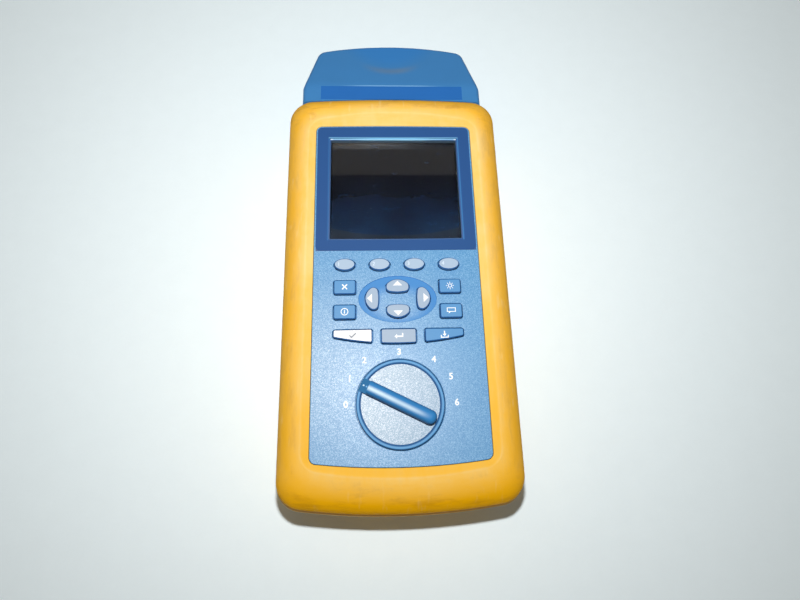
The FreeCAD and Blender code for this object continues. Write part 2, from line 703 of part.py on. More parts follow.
def level_at(height):
    """Edges that lie at one height."""
    z = as_size(height).number

    def test(edge):
        box = edge.BoundBox
        return abs(box.ZMin - z) < TOLERANCE and abs(box.ZMax - z) < TOLERANCE
    return test


def outside_edge_near(height, depth, root):
    """Edges of the adapter's outer rim near one height, without its root and its crease."""
    level = as_size(height).number
    reach = as_size(depth).number
    limit = as_size(root).number

    def test(edge):
        box = edge.BoundBox
        near = level - reach < box.ZMin + TOLERANCE and box.ZMax - TOLERANCE < level + reach
        crease = box.YLength < TOLERANCE
        upright = box.XLength < TOLERANCE and box.YLength < TOLERANCE
        return near and not crease and not upright and box.YMax > limit
    return test


def across_at(height):
    """Straight edges that run across the case at one height."""
    z = as_size(height).number

    def test(edge):
        box = edge.BoundBox
        straight = box.YLength < TOLERANCE and box.ZLength < TOLERANCE
        return straight and abs(box.ZMin - z) < TOLERANCE
    return test


def upright_away_from(y_limit):
    """Upright straight edges beyond a line across the case."""
    limit = as_size(y_limit).number

    def test(edge):
        box = edge.BoundBox
        upright = box.XLength < TOLERANCE and box.YLength < TOLERANCE
        return upright and box.YMin > limit
    return test


# Simple solids

def fit_box(thing, left, right, near, far, bottom, top):
    bind(thing, "Length", as_size(right) - left)
    bind(thing, "Width", as_size(far) - near)
    bind(thing, "Height", as_size(top) - bottom)
    bind(thing, "Placement.Base.x", left)
    bind(thing, "Placement.Base.y", near)
    bind(thing, "Placement.Base.z", bottom)


def fit_rod(thing, x, y, bottom, top, radius):
    bind(thing, "Radius", radius)
    bind(thing, "Height", as_size(top) - bottom)
    bind(thing, "Placement.Base.x", x)
    bind(thing, "Placement.Base.y", y)
    bind(thing, "Placement.Base.z", bottom)


def fit_side_rod(thing, left, right, y, z, radius):
    thing.Placement = Placement(Vector(0, 0, 0), Rotation(Vector(0, 1, 0), 90))
    bind(thing, "Radius", radius)
    bind(thing, "Height", as_size(right) - left)
    bind(thing, "Placement.Base.x", left)
    bind(thing, "Placement.Base.y", y)
    bind(thing, "Placement.Base.z", z)


def box(name, left, right, near, far, bottom, top):
    thing = doc.addObject("Part::Box", name)
    fit_box(thing, left, right, near, far, bottom, top)
    return thing


def rod(name, x, y, bottom, top, radius):
    thing = doc.addObject("Part::Cylinder", name)
    fit_rod(thing, x, y, bottom, top, radius)
    return thing


def side_rod(name, left, right, y, z, radius):
    thing = doc.addObject("Part::Cylinder", name)
    fit_side_rod(thing, left, right, y, z, radius)
    return thing


def fuse(name, parts):
    thing = doc.addObject("Part::MultiFuse", name)
    thing.Shapes = parts
    return thing


def cut(name, base, tools):
    thing = doc.addObject("Part::Cut", name)
    thing.Base = base
    thing.Tool = tools[0] if len(tools) == 1 else fuse(f"{name}_tools", tools)
    return thing


def group(name, parts):
    thing = doc.addObject("Part::Compound", name)
    thing.Links = parts
    return thing


def screw(name, x, y, seat, tip, radius, head_radius, head_height):
    """Cross-headed screw whose head lies on the far side of its seat from the tip."""
    up = as_size(tip).number > as_size(seat).number
    sign = 1.0 if up else -1.0
    crown = as_size(seat) - sign * as_size(head_height)
    floor = crown + sign * s.drive_depth
    shank_ends = (seat, tip) if up else (tip, seat)
    head_ends = (crown, seat) if up else (seat, crown)
    drive_ends = (crown, floor) if up else (floor, crown)
    shank = rod(f"{name}_shank", x, y, *shank_ends, radius)
    head = rod(f"{name}_head", x, y, *head_ends, head_radius)
    arm = as_size(head_radius) * DRIVE_SHARE
    slot = s.drive_width / 2
    x = as_size(x)
    y = as_size(y)
    across = box(f"{name}_slot_x", x - arm, x + arm, y - slot, y + slot, *drive_ends)
    along = box(f"{name}_slot_y", x - slot, x + slot, y - arm, y + arm, *drive_ends)
    return cut(name, fuse(f"{name}_blank", [shank, head]), [across, along])


# Shared places

half_width = s.body_width / 2
near_end = (s.lip_reach - s.body_length - s.adapter_reach) / 2
far_end = near_end + s.body_length
crest_height = s.panel_height + s.crest_rise
panel_under = s.panel_height - s.panel_thickness
ledge_under = panel_under - s.ledge_depth
back_inside = s.foot_height + s.back_wall
panel_near = near_end + s.panel_bottom_inset
panel_far = far_end - s.panel_top_inset
dial_y = panel_near + s.dial_row
panel_side = half_width - s.side_roll - s.strip_width
inner_x = half_width - s.case_wall
inner_far = far_end - s.case_wall
measure_top = s.measure_height + s.board_thickness
main_height = panel_under - s.main_drop
main_top = main_height + s.board_thickness
screw_hole = s.screw_radius + s.screw_clearance

case_outline = Outline(
    -half_width, half_width, far_end, near_end, s.far_radius, s.near_radius, s.case_corner)
lip_outline = Outline(
    -(half_width + s.lip_rise), half_width + s.lip_rise, far_end + s.lip_rise,
    near_end - s.lip_reach, s.far_radius, s.near_radius, s.case_corner)
case_inside = case_outline.grown(-s.case_wall)
panel_outline = Outline(
    -panel_side, panel_side, panel_far, panel_near,
    s.panel_top_radius, s.panel_bottom_radius, s.panel_corner)
panel_opening = panel_outline.grown(s.panel_gap)
boss_x = half_width - s.boss_side_inset
boss_rows = (
    near_end + s.boss_bottom_inset, near_end + s.boss_middle_inset, far_end - s.boss_top_inset)
boss_places = [(sign * boss_x, y) for y in boss_rows for sign in (-1.0, 1.0)]
foot_x = half_width - s.foot_side_inset
foot_places = [
    (sign * foot_x, y)
    for y in (near_end + s.foot_bottom_inset, far_end - s.foot_top_inset)
    for sign in (-1.0, 1.0)]
bracket_x = s.screen_width / 2 + s.bracket_margin - s.screen_lip
hollow_x = bracket_x - s.bracket_sheet
post_rows = ((s.post_x, s.post_bottom_y), (hollow_x - s.post_side_gap, s.post_top_y))
post_places = [(sign * x, y) for x, y in post_rows for sign in (-1.0, 1.0)]


# Case halves, seal, feet and screws

def rolled_outline(angle):
    """Outline and height of the rolled front edge at one angle of its roll."""
    turn = math.radians(angle)
    share = 1.0 - math.cos(turn)
    rise = math.sin(turn)
    far_radius = s.far_radius + (s.crest_far_radius - s.far_radius) * share
    near_radius = s.near_radius + (s.crest_near_radius - s.near_radius) * share
    side = half_width - s.side_roll * share
    shape = Outline(
        -side, side, far_end - s.top_roll * share, near_end + s.bottom_roll * share,
        far_radius, near_radius, s.case_corner + (s.crest_corner - s.case_corner) * share)
    return s.shoulder_height + (crest_height - s.shoulder_height) * rise, shape


plug_window = (
    -(s.plug_half_width + s.plug_window_gap), s.plug_half_width + s.plug_window_gap,
    inner_far - s.case_wall, far_end + s.case_wall)

front = Body("front_case")
front.pad([case_outline], s.parting_height, s.shoulder_height)
front.bevel(s.seam_bevel, level_at(s.parting_height))
front.loft("Additive", [rolled_outline(angle) for angle in ROLL_ANGLES])
crest_line = rolled_outline(ROLL_ANGLES[-1])[1]
front.loft("Subtractive", [(crest_height, crest_line), (s.panel_height, panel_opening)])
front.pocket([panel_opening], s.panel_height, panel_under)
front.pocket([panel_outline.grown(-s.ledge_width)], panel_under, ledge_under)
front.pocket([case_inside], s.parting_height, ledge_under)
front.pad([Circles(boss_places, s.boss_radius)], s.parting_height, ledge_under)
front.pocket([Circles(boss_places, screw_hole)], s.parting_height, s.parting_height + s.screw_reach)

rear = Body("rear_case")
rear.pad([case_outline], s.foot_height, s.parting_height)
rear.pad([lip_outline], s.parting_height - s.lip_height, s.parting_height)
rear.round(s.lip_round, level_at(s.parting_height))
rear.round(s.back_round, level_at(s.foot_height))
rear.pocket([case_inside], s.parting_height, back_inside)
rear.pad([Circles(boss_places, s.boss_radius)], back_inside, s.parting_height)
rear.pocket([Circles(boss_places, screw_hole)], s.parting_height)
rear.pocket(
    [Circles(boss_places, s.screw_head_radius + s.screw_clearance)],
    s.foot_height, s.foot_height + s.screw_seat_depth)
rear.pad([Circles(post_places, s.post_radius)], back_inside, s.measure_height)
rear.pocket([Circles(foot_places, s.foot_radius)], s.foot_height, s.foot_height + s.foot_sink)
seal_outer = case_outline.grown(-s.seal_inset)
seal_inner = case_outline.grown(-(s.seal_inset + s.seal_width))
rear.pocket([seal_outer, seal_inner], s.parting_height, s.parting_height - s.seal_depth)
rear.block(
    "Subtractive", *plug_window,
    s.plug_bottom - s.plug_window_gap, s.plug_top + s.plug_window_gap)

seal = Body("case_seal")
seal.pad([seal_outer, seal_inner], s.parting_height - s.seal_depth, s.parting_height)

feet = [
    rod(f"foot_{i}", x, y, 0.0, s.foot_height + s.foot_sink, s.foot_radius)
    for i, (x, y) in enumerate(foot_places)]
keep(group("rubber_feet", feet), "rubber_feet")

case_screws = [
    screw(
        f"case_screw_{i}", x, y, s.foot_height + s.screw_seat_depth,
        s.parting_height + s.screw_reach - s.screw_end_gap, s.screw_radius,
        s.screw_head_radius, s.screw_head_height)
    for i, (x, y) in enumerate(boss_places)]
keep(group("case_screws", case_screws), "case_screws")


# Front panel, overlay, window and display

def screen_outline(grow):
    """Screen opening of the overlay, grown by a distance."""
    shape = Outline(
        -s.screen_width / 2, s.screen_width / 2, s.screen_length / 2, -s.screen_length / 2,
        s.flat_radius, s.flat_radius, s.screen_corner)
    return shape.grown(grow)


screen_y = dial_y + s.screen_row
panel = Body("front_panel")
panel.pad([panel_outline], panel_under, s.panel_height)
panel.pocket([screen_outline(-s.screen_lip)], s.panel_height, y=screen_y)
panel.pocket(
    [Circles([(0.0, 0.0)], s.dial_radius + s.dial_gap)],
    s.panel_height, s.panel_height - s.dial_sink, y=dial_y)
panel.pocket([Circles([(0.0, 0.0)], s.shaft_radius + s.shaft_hole_gap)], s.panel_height, y=dial_y)
dish_y = dial_y + s.dish_row
panel.pocket(
    [Oval(s.dish_width, s.dish_length)], s.panel_height, s.panel_height - s.dish_depth, y=dish_y)

overlay = Body("display_overlay")
overlay_side = panel_side - s.overlay_margin
overlay_outline = Outline(
    -overlay_side, overlay_side, panel_far - s.overlay_margin, dial_y + s.overlay_row,
    s.panel_top_radius, s.flat_radius, s.panel_corner - s.overlay_margin)
overlay.pad([overlay_outline], s.panel_height, s.panel_height + s.overlay_thickness)
overlay.pocket([screen_outline(0.0)], s.panel_height + s.overlay_thickness, y=screen_y)

window_under = panel_under - s.window_thickness
window = Body("display_window")
window.pad([screen_outline(s.window_margin - s.screen_lip)], window_under, panel_under, y=screen_y)

bracket_top = window_under - s.bracket_gap
bracket_lip = bracket_top - s.bracket_sheet
bracket_y = s.screen_length / 2 + s.bracket_margin
shell = box(
    "bracket_shell", -bracket_x, bracket_x, screen_y - bracket_y, screen_y + bracket_y,
    main_top, bracket_top)
hollow_y = bracket_y - s.bracket_sheet
hollow = box(
    "bracket_hollow", -hollow_x, hollow_x, screen_y - hollow_y, screen_y + hollow_y,
    main_top, bracket_lip)
view_x = s.screen_width / 2 - s.screen_lip
view_y = s.screen_length / 2 - s.screen_lip
view = box(
    "bracket_view", -view_x, view_x, screen_y - view_y, screen_y + view_y,
    bracket_lip, bracket_top)
keep(cut("lcd_bracket", shell, [hollow, view]), "lcd_bracket")
seat_x = bracket_x + s.bracket_clear
seat_y = bracket_y + s.bracket_clear
front.block(
    "Subtractive", -seat_x, seat_x, screen_y - seat_y, screen_y + seat_y, ledge_under, panel_under)

glass_x = hollow_x - s.display_gap
glass_y = hollow_y - s.display_gap
glass_top = bracket_lip - s.display_gap
glass_under = glass_top - s.glass_thickness
glass_sides = (-glass_x, glass_x, screen_y - glass_y, screen_y + glass_y)
keep(box("lcd_glass", *glass_sides, glass_under, glass_top), "lcd_glass")
keep(
    box("backlight", *glass_sides, glass_under - s.backlight_thickness, glass_under),
    "backlight")


# Keys

flange_top = panel_under - s.flange_gap
flange_under = flange_top - s.flange_thickness
key_top = s.panel_height + s.key_rise

softkey_shape = Oval(s.softkey_width, s.softkey_length)
side_key_shape = Outline(
    -s.side_key_width / 2, s.side_key_width / 2, s.side_key_length / 2, -s.side_key_length / 2,
    s.flat_radius, s.flat_radius, s.side_key_corner)
row_middle = (s.row_top + s.row_bottom) / 2
row_centre = dial_y + row_middle
row_far = s.row_top - row_middle
row_near = s.row_bottom - row_middle
enter_shape = Outline(
    -s.enter_width / 2, s.enter_width / 2, row_far, row_near,
    s.flat_radius, s.row_radius, s.row_corner)
test_shape = Outline(
    -s.row_outer_x, -s.row_inner_x, row_far, row_near, s.flat_radius, s.row_radius, s.row_corner)
save_shape = Outline(
    s.row_inner_x, s.row_outer_x, row_far, row_near, s.flat_radius, s.row_radius, s.row_corner)


def arrow_shape(bow):
    """Arrow key seen with its outer side towards +Y."""
    return Outline(
        -s.arrow_width / 2, s.arrow_width / 2, s.arrow_length / 2, -s.arrow_length / 2,
        bow, s.arrow_inner_radius, s.arrow_corner)


softkey_y = dial_y + s.softkey_row
upper_y = dial_y + s.side_key_upper_row
lower_y = dial_y + s.side_key_lower_row

# Label, hole outline, centre x, centre y, turn, dome x
KEYS = [
    ("softkey_1", softkey_shape, -1.5 * s.softkey_pitch, softkey_y, 0.0, 0.0),
    ("softkey_2", softkey_shape, -0.5 * s.softkey_pitch, softkey_y, 0.0, 0.0),
    ("softkey_3", softkey_shape, 0.5 * s.softkey_pitch, softkey_y, 0.0, 0.0),
    ("softkey_4", softkey_shape, 1.5 * s.softkey_pitch, softkey_y, 0.0, 0.0),
    ("key_exit", side_key_shape, -s.side_key_x, upper_y, 0.0, 0.0),
    ("key_fault", side_key_shape, -s.side_key_x, lower_y, 0.0, 0.0),
    ("key_light", side_key_shape, s.side_key_x, upper_y, 0.0, 0.0),
    ("key_talk", side_key_shape, s.side_key_x, lower_y, 0.0, 0.0),
    ("arrow_up", arrow_shape(s.arrow_flat_radius), 0.0, dish_y + s.arrow_reach_y, 0.0, 0.0),
    ("arrow_down", arrow_shape(s.arrow_flat_radius), 0.0, dish_y - s.arrow_reach_y, 180.0, 0.0),
    ("arrow_left", arrow_shape(s.arrow_round_radius), -s.arrow_reach_x, dish_y, 90.0, 0.0),
    ("arrow_right", arrow_shape(s.arrow_round_radius), s.arrow_reach_x, dish_y, 270.0, 0.0),
    ("key_test", test_shape, 0.0, row_centre, 0.0, -(s.row_inner_x + s.row_outer_x) / 2),
    ("key_enter", enter_shape, 0.0, row_centre, 0.0, 0.0),
    ("key_save", save_shape, 0.0, row_centre, 0.0, (s.row_inner_x + s.row_outer_x) / 2),
]

for label, shape, x, y, turn, _ in KEYS:
    panel.pocket([shape], s.panel_height, x=x, y=y, turn=turn)
    key = Body(label)
    cap = shape.grown(-s.key_gap)
    key.pad([cap.grown(s.key_flange)], flange_under, flange_top, x=x, y=y, turn=turn)
    key.pad([cap], flange_under, key_top, x=x, y=y, turn=turn)
    key.round(s.key_round, level_at(key_top))

panel.round(s.panel_round, level_at(s.panel_height))

key_board_top = panel_under - s.key_board_drop
key_board_under = key_board_top - s.board_thickness
key_board_near = dial_y + s.key_board_bottom_row
key_board_far = screen_y - bracket_y - s.key_board_gap
key_board_x = panel_side - s.key_board_inset
keep(
    box(
        "key_board", -key_board_x, key_board_x,
        key_board_near, key_board_far, key_board_under, key_board_top),
    "key_board")
mat_top = key_board_top + s.mat_thickness
dome_top = flange_under - s.key_travel - s.dome_gap
mat_x = key_board_x - s.mat_inset
mat_sheet = box(
    "mat_sheet", -mat_x, mat_x, key_board_near + s.mat_inset, key_board_far - s.mat_inset,
    key_board_top, mat_top)
domes = [
    rod(f"dome_{label}", as_size(x) + dome_x, y, key_board_top, dome_top, s.dome_radius)
    for label, _, x, y, _, dome_x in KEYS]
keep(fuse("keypad_mat", [mat_sheet] + domes), "keypad_mat")
key_post_x = key_board_x - s.key_post_inset
key_posts = [
    rod(f"key_post_{i}", sign * key_post_x, y, main_top, key_board_under, s.key_post_radius)
    for i, (sign, y) in enumerate(
        (sign, y)
        for y in (key_board_near + s.key_post_inset, key_board_far - s.key_post_inset)
        for sign in (-1.0, 1.0))]


# Dial and rotary switch

knob_under = s.panel_height - s.dial_sink + s.dial_lift
disc_top = s.panel_height + s.dial_disc_rise
rim_top = disc_top + s.rim_rise
bar_top = disc_top + s.bar_rise
step_top = disc_top + s.step_rise
rim_inside = s.dial_radius - s.rim_width
bar_half = s.bar_width / 2
bar_outline = Outline(
    -bar_half, bar_half, s.bar_nose + s.bar_run, -s.bar_tail,
    s.flat_radius, s.bar_tail_radius, s.bar_corner)
nose_outline = Outline(
    -s.bar_width, s.bar_width, s.bar_nose + THROUGH * s.bar_run, s.bar_nose,
    s.flat_radius, s.flat_radius, s.step_round)
step_outline = Outline(
    -bar_half, bar_half, s.step_reach, 0.0, s.dial_radius, s.flat_radius, s.step_round)
turned = {"y": dial_y, "turn": s.dial_angle}

knob = Body("dial_knob")
knob.pad([Circles([(0.0, 0.0)], s.dial_radius)], knob_under, rim_top, y=dial_y)
knob.pocket([Circles([(0.0, 0.0)], rim_inside)], rim_top, disc_top, y=dial_y)
knob.round(s.rim_round, level_at(rim_top))
knob.pad([bar_outline], disc_top, bar_top, **turned)
knob.round(s.bar_round, level_at(bar_top))
knob.pocket([nose_outline], bar_top, rim_top, **turned)
knob.pad([step_outline], disc_top, step_top, **turned)
shaft_top = knob_under + s.shaft_sink
knob.rod("Subtractive", 0.0, dial_y, knob_under, shaft_top, s.shaft_radius + s.shaft_gap)

face = Body("dial_face")
face_top = disc_top + s.face_thickness
face.pad([Circles([(0.0, 0.0)], rim_inside - s.face_gap)], disc_top, face_top, y=dial_y)
face.pocket([bar_outline.grown(s.face_gap)], face_top, **turned)
face.pocket([step_outline.grown(s.face_gap)], face_top, **turned)

switch_top = panel_under - s.switch_panel_gap
chamber_top = switch_top - s.switch_roof
rotor_top = chamber_top - s.rotor_gap
rotor_under = rotor_top - s.rotor_height
switch_half = s.switch_width / 2
housing = box(
    "housing_block", -switch_half, switch_half, dial_y - switch_half, dial_y + switch_half,
    main_top, switch_top)
chamber = rod(
    "housing_chamber", 0.0, dial_y, main_top, chamber_top, s.rotor_radius + s.rotor_gap)
bearing = rod(
    "housing_bearing", 0.0, dial_y, main_top, switch_top, s.shaft_radius + s.shaft_gap)
keep(cut("switch_housing", housing, [chamber, bearing]), "switch_housing")
shaft_rod = rod("shaft_rod", 0.0, dial_y, rotor_under, shaft_top, s.shaft_radius)
rotor_disc = rod("rotor_disc", 0.0, dial_y, rotor_under, rotor_top, s.rotor_radius)
keep(fuse("dial_shaft", [shaft_rod, rotor_disc]), "dial_shaft")


# Circuit boards and what stands on them

def drilled(name, board, places, radius, bottom, top):
    """Board with its screw holes."""
    holes = [rod(f"{name}_hole_{i}", x, y, bottom, top, radius) for i, (x, y) in enumerate(places)]
    return keep(cut(name, board, holes), name)


board_hole = s.board_screw_radius + s.screw_clearance
measure_x = inner_x - s.measure_side_gap
tongue_x = boss_x - s.boss_radius - s.tongue_gap
measure_sheet = box(
    "measure_sheet", -measure_x, measure_x,
    s.measure_bottom_y, s.measure_top_y, s.measure_height, measure_top)
measure_tongue = box(
    "measure_tongue", -tongue_x, tongue_x,
    s.measure_bottom_y, s.measure_tongue_y, s.measure_height, measure_top)
keep(fuse("measure_board", [measure_sheet, measure_tongue]), "measure_board")
main_x = inner_x - s.main_side_gap
main_sheet = box(
    "main_sheet", -main_x, main_x,
    s.main_bottom_y, s.main_top_y, main_height, main_top)
drilled("main_board", main_sheet, post_places, board_hole, main_height, main_top)
posts = [
    cut(
        f"board_post_{i}",
        rod(f"post_{i}", x, y, measure_top, main_height, s.post_radius),
        [rod(f"post_bore_{i}", x, y, main_height - s.board_screw_reach, main_height, board_hole)])
    for i, (x, y) in enumerate(post_places)]
keep(group("board_posts", posts + key_posts), "board_posts")
board_screws = [
    screw(
        f"board_screw_{i}", x, y, main_top,
        main_height - s.board_screw_reach + s.screw_end_gap, s.board_screw_radius,
        s.board_screw_head, s.board_screw_head_height)
    for i, (x, y) in enumerate(post_places)]
keep(group("board_screws", board_screws), "board_screws")

chips = [
    box(
        f"chip_{i}", x - width / 2, x + width / 2, y - length / 2, y + length / 2,
        main_top, main_top + s.chip_height)
    for i, (x, y, width, length) in enumerate(CHIPS)]
keep(group("board_chips", chips), "board_chips")
can_block = box(
    "can_block", s.can_left, s.can_right, s.can_bottom_y, s.can_top_y,
    measure_top, measure_top + s.can_height)
can_inside = box(
    "can_inside", s.can_left + s.can_sheet, s.can_right - s.can_sheet,
    s.can_bottom_y + s.can_sheet, s.can_top_y - s.can_sheet,
    measure_top, measure_top + s.can_height - s.can_sheet)
keep(cut("shield_can", can_block, [can_inside]), "shield_can")
keep(
    rod("sounder", s.sounder_x, s.sounder_y, main_top, main_top + s.sounder_height, s.sounder_radius),
    "sounder")


# Battery bay

pack_near = near_end + s.battery_inset
pack_far = pack_near + s.battery_length
cover_x = s.battery_half_width + s.cover_margin
cover_near = pack_near - s.cover_margin
cover_far = pack_far + s.cover_margin
cover_top = s.foot_height + s.cover_thickness
pack_top = cover_top + s.battery_height
rear.block(
    "Subtractive", -(cover_x + s.cover_gap), cover_x + s.cover_gap,
    cover_near - s.cover_gap, cover_far + s.cover_gap, s.foot_height, back_inside)
bay_x = s.battery_half_width + s.cover_margin + s.battery_gap
bay_near = cover_near - s.battery_gap
bay_far = cover_far + s.battery_gap
tray_top = pack_top + s.battery_gap
tray_block = box(
    "tray_block", -(bay_x + s.tray_wall), bay_x + s.tray_wall,
    bay_near - s.tray_wall, bay_far + s.tray_wall, back_inside, tray_top + s.tray_wall)
tray_hollow = box("tray_hollow", -bay_x, bay_x, bay_near, bay_far, back_inside, tray_top)
keep(cut("battery_tray", tray_block, [tray_hollow]), "battery_tray")
keep(
    box(
        "battery_pack", -s.battery_half_width, s.battery_half_width, pack_near, pack_far,
        cover_top, pack_top),
    "battery_pack")
latch_far = cover_far - s.latch_inset
latch_near = latch_far - s.latch_length
latch_half = s.latch_width / 2
latch_floor = s.foot_height + s.latch_thickness + s.latch_gap
cover_plate = box(
    "cover_plate", -cover_x, cover_x, cover_near, cover_far, s.foot_height, cover_top)
cover_recess = box(
    "cover_recess", -(latch_half + s.latch_gap), latch_half + s.latch_gap,
    latch_near - s.latch_travel - s.latch_gap, latch_far + s.latch_gap,
    s.foot_height, latch_floor)
keep(cut("battery_cover", cover_plate, [cover_recess]), "battery_cover")
latch_top = latch_floor - s.latch_gap / 2
keep(
    box(
        "battery_latch", -latch_half, latch_half, latch_near, latch_far,
        latch_top - s.latch_thickness, latch_top),
    "battery_latch")


# Link adapter

class AdapterOutline:
    """Plan of the adapter: hollow root, straight sides, slanted flanks and a bowed far end."""

    def __init__(self, inset=0.0):
        self.inset = as_size(inset)

    def draw(self, sketch):
        root_centre = far_end - s.far_radius
        root_radius = s.far_radius + s.adapter_gap + self.inset
        root_x = s.adapter_half_width - self.inset
        root_y = root_centre + (root_radius * root_radius - root_x * root_x).root()
        shoulder_y = far_end + s.adapter_shoulder
        end_x = s.adapter_end_half - self.inset
        end_radius = s.adapter_end_radius - self.inset
        end_centre = far_end + s.adapter_reach - s.adapter_end_radius
        end_y = end_centre + (end_radius * end_radius - end_x * end_x).root()
        right = [(root_x, root_y), (root_x, shoulder_y), (end_x, end_y)]
        left = [(-x, y) for x, y in reversed(right)]
        for chain in (right, left):
            for (x0, y0), (x1, y1) in zip(chain, chain[1:]):
                sketch.addGeometry(Part.LineSegment(
                    Vector(x0.number, y0.number, 0), Vector(x1.number, y1.number, 0)), False)
        half_end = math.asin(end_x.number / end_radius.number)
        half_root = math.asin(root_x.number / root_radius.number)
        sketch.addGeometry(arc(
            Vector(0, end_centre.number, 0), end_radius.number,
            math.pi / 2 - half_end, math.pi / 2 + half_end), False)
        sketch.addGeometry(arc(
            Vector(0, root_centre.number, 0), root_radius.number,
            math.pi / 2 - half_root, math.pi / 2 + half_root), False)
        # Lines 0 and 1 are the right side, 2 and 3 the left, arc 4 the far end, arc 5 the root
        joints = ((0, 2, 1, 1), (1, 2, 4, 1), (4, 2, 2, 1), (2, 2, 3, 1), (3, 2, 5, 2), (5, 1, 0, 1))
        for first, end, second, start in joints:
            sketch.addConstraint(Sketcher.Constraint("Coincident", first, end, second, start))
        held = ((0, 1, right[0]), (0, 2, right[1]), (1, 2, right[2]),
                (2, 1, left[0]), (2, 2, left[1]), (3, 2, left[2]))
        for line, point, (x, y) in held:
            hold(sketch, "DistanceX", line, point, x)
            hold(sketch, "DistanceY", line, point, y)
        hold_radius(sketch, 4, end_radius)
        hold_radius(sketch, 5, root_radius)


adapter_end = far_end + s.adapter_reach
adapter_low = s.adapter_top - s.adapter_drop
roof_inside = adapter_low - s.adapter_roof
floor_inside = s.adapter_bottom + s.adapter_wall
screw_y = far_end + s.adapter_screw_reach
adapter_screw_places = [(sign * s.adapter_screw_x, screw_y) for sign in (-1.0, 1.0)]
shoulder_limit = far_end + s.adapter_shoulder / 2
root_limit = far_end + s.adapter_gap + TOLERANCE
plug_hole = (
    -(s.plug_half_width + s.plug_gap), s.plug_half_width + s.plug_gap,
    far_end - s.adapter_wall, far_end + s.adapter_gap + THROUGH * s.adapter_wall)

top_shell = Body("adapter_top_shell")
top_shell.pad([AdapterOutline()], s.adapter_parting, s.adapter_top)
slope = math.degrees(math.atan2(s.adapter_drop.number, (s.adapter_reach - s.adapter_flat).number))
wedge = top_shell.body.newObject("PartDesign::SubtractiveBox", "adapter_slope")
wedge.Placement = Placement(Vector(0, 0, 0), Rotation(Vector(1, 0, 0), -slope))
bind(wedge, "Placement.Rotation.Angle", -slope)
bind(wedge, "Length", THROUGH * s.adapter_half_width)
bind(wedge, "Width", s.adapter_reach)
bind(wedge, "Height", THROUGH * s.adapter_drop)
bind(wedge, "Placement.Base.x", -s.adapter_half_width)
bind(wedge, "Placement.Base.y", far_end + s.adapter_flat)
bind(wedge, "Placement.Base.z", s.adapter_top)
top_shell.change(wedge, -1)
top_shell.round(s.adapter_crease, across_at(s.adapter_top))
top_shell.round(s.adapter_corner, upright_away_from(shoulder_limit))
top_shell.round(
    s.adapter_round, outside_edge_near(s.adapter_top, s.adapter_drop + TOLERANCE, root_limit))
top_shell.pocket([AdapterOutline(s.adapter_wall)], s.adapter_parting, roof_inside)
top_shell.pad([Circles(adapter_screw_places, s.adapter_boss)], s.adapter_parting, roof_inside)
top_shell.pocket(
    [Circles(adapter_screw_places, screw_hole)],
    s.adapter_parting, s.adapter_parting + s.adapter_screw_bite)
top_shell.block("Subtractive", *plug_hole, s.adapter_parting, s.plug_top + s.plug_gap)
scoop_depth = (s.scoop_ball * s.scoop_ball - s.scoop_radius * s.scoop_radius).root()
scoop = top_shell.body.newObject("PartDesign::SubtractiveSphere", "adapter_scoop")
bind(scoop, "Radius", s.scoop_ball)
bind(scoop, "Placement.Base.y", far_end + s.scoop_start + s.scoop_radius)
scoop_drop = s.adapter_drop * (s.scoop_start - s.adapter_flat) / (s.adapter_reach - s.adapter_flat)
bind(scoop, "Placement.Base.z", s.adapter_top - scoop_drop + scoop_depth)
top_shell.change(scoop, -1)

bottom_shell = Body("adapter_bottom_shell")
bottom_shell.pad([AdapterOutline()], s.adapter_bottom, s.adapter_parting)
bottom_shell.round(s.adapter_corner, upright_away_from(shoulder_limit))
bottom_shell.round(
    s.adapter_round, outside_edge_near(s.adapter_bottom, TOLERANCE, root_limit))
bottom_shell.pocket([AdapterOutline(s.adapter_wall)], s.adapter_parting, floor_inside)
bottom_shell.pad([Circles(adapter_screw_places, s.adapter_boss)], floor_inside, s.adapter_parting)
bottom_shell.pocket([Circles(adapter_screw_places, screw_hole)], s.adapter_parting)
bottom_shell.pocket(
    [Circles(adapter_screw_places, s.screw_head_radius + s.screw_clearance)],
    s.adapter_bottom, s.adapter_bottom + s.adapter_seat_depth)
bottom_shell.block("Subtractive", *plug_hole, s.plug_bottom - s.plug_gap, s.adapter_parting)
bottom_shell.block(
    "Subtractive", -(s.jack_half_width + s.jack_gap), s.jack_half_width + s.jack_gap,
    adapter_end - THROUGH * s.adapter_wall, adapter_end + s.adapter_wall,
    s.jack_bottom - s.jack_gap, s.adapter_parting)
bottom_shell.block(
    "Subtractive", -(s.hook_half_width + s.hook_gap), s.hook_half_width + s.hook_gap,
    far_end - s.adapter_wall, far_end + s.adapter_gap + THROUGH * s.adapter_wall,
    s.hook_nose_bottom - s.hook_gap, s.hook_nose_top + s.hook_gap)

keep(
    box(
        "adapter_label", -s.label_half_width, s.label_half_width, far_end + s.label_start,
        far_end + s.label_start + s.label_length, s.adapter_top, s.adapter_top + s.label_thickness),
    "adapter_label")

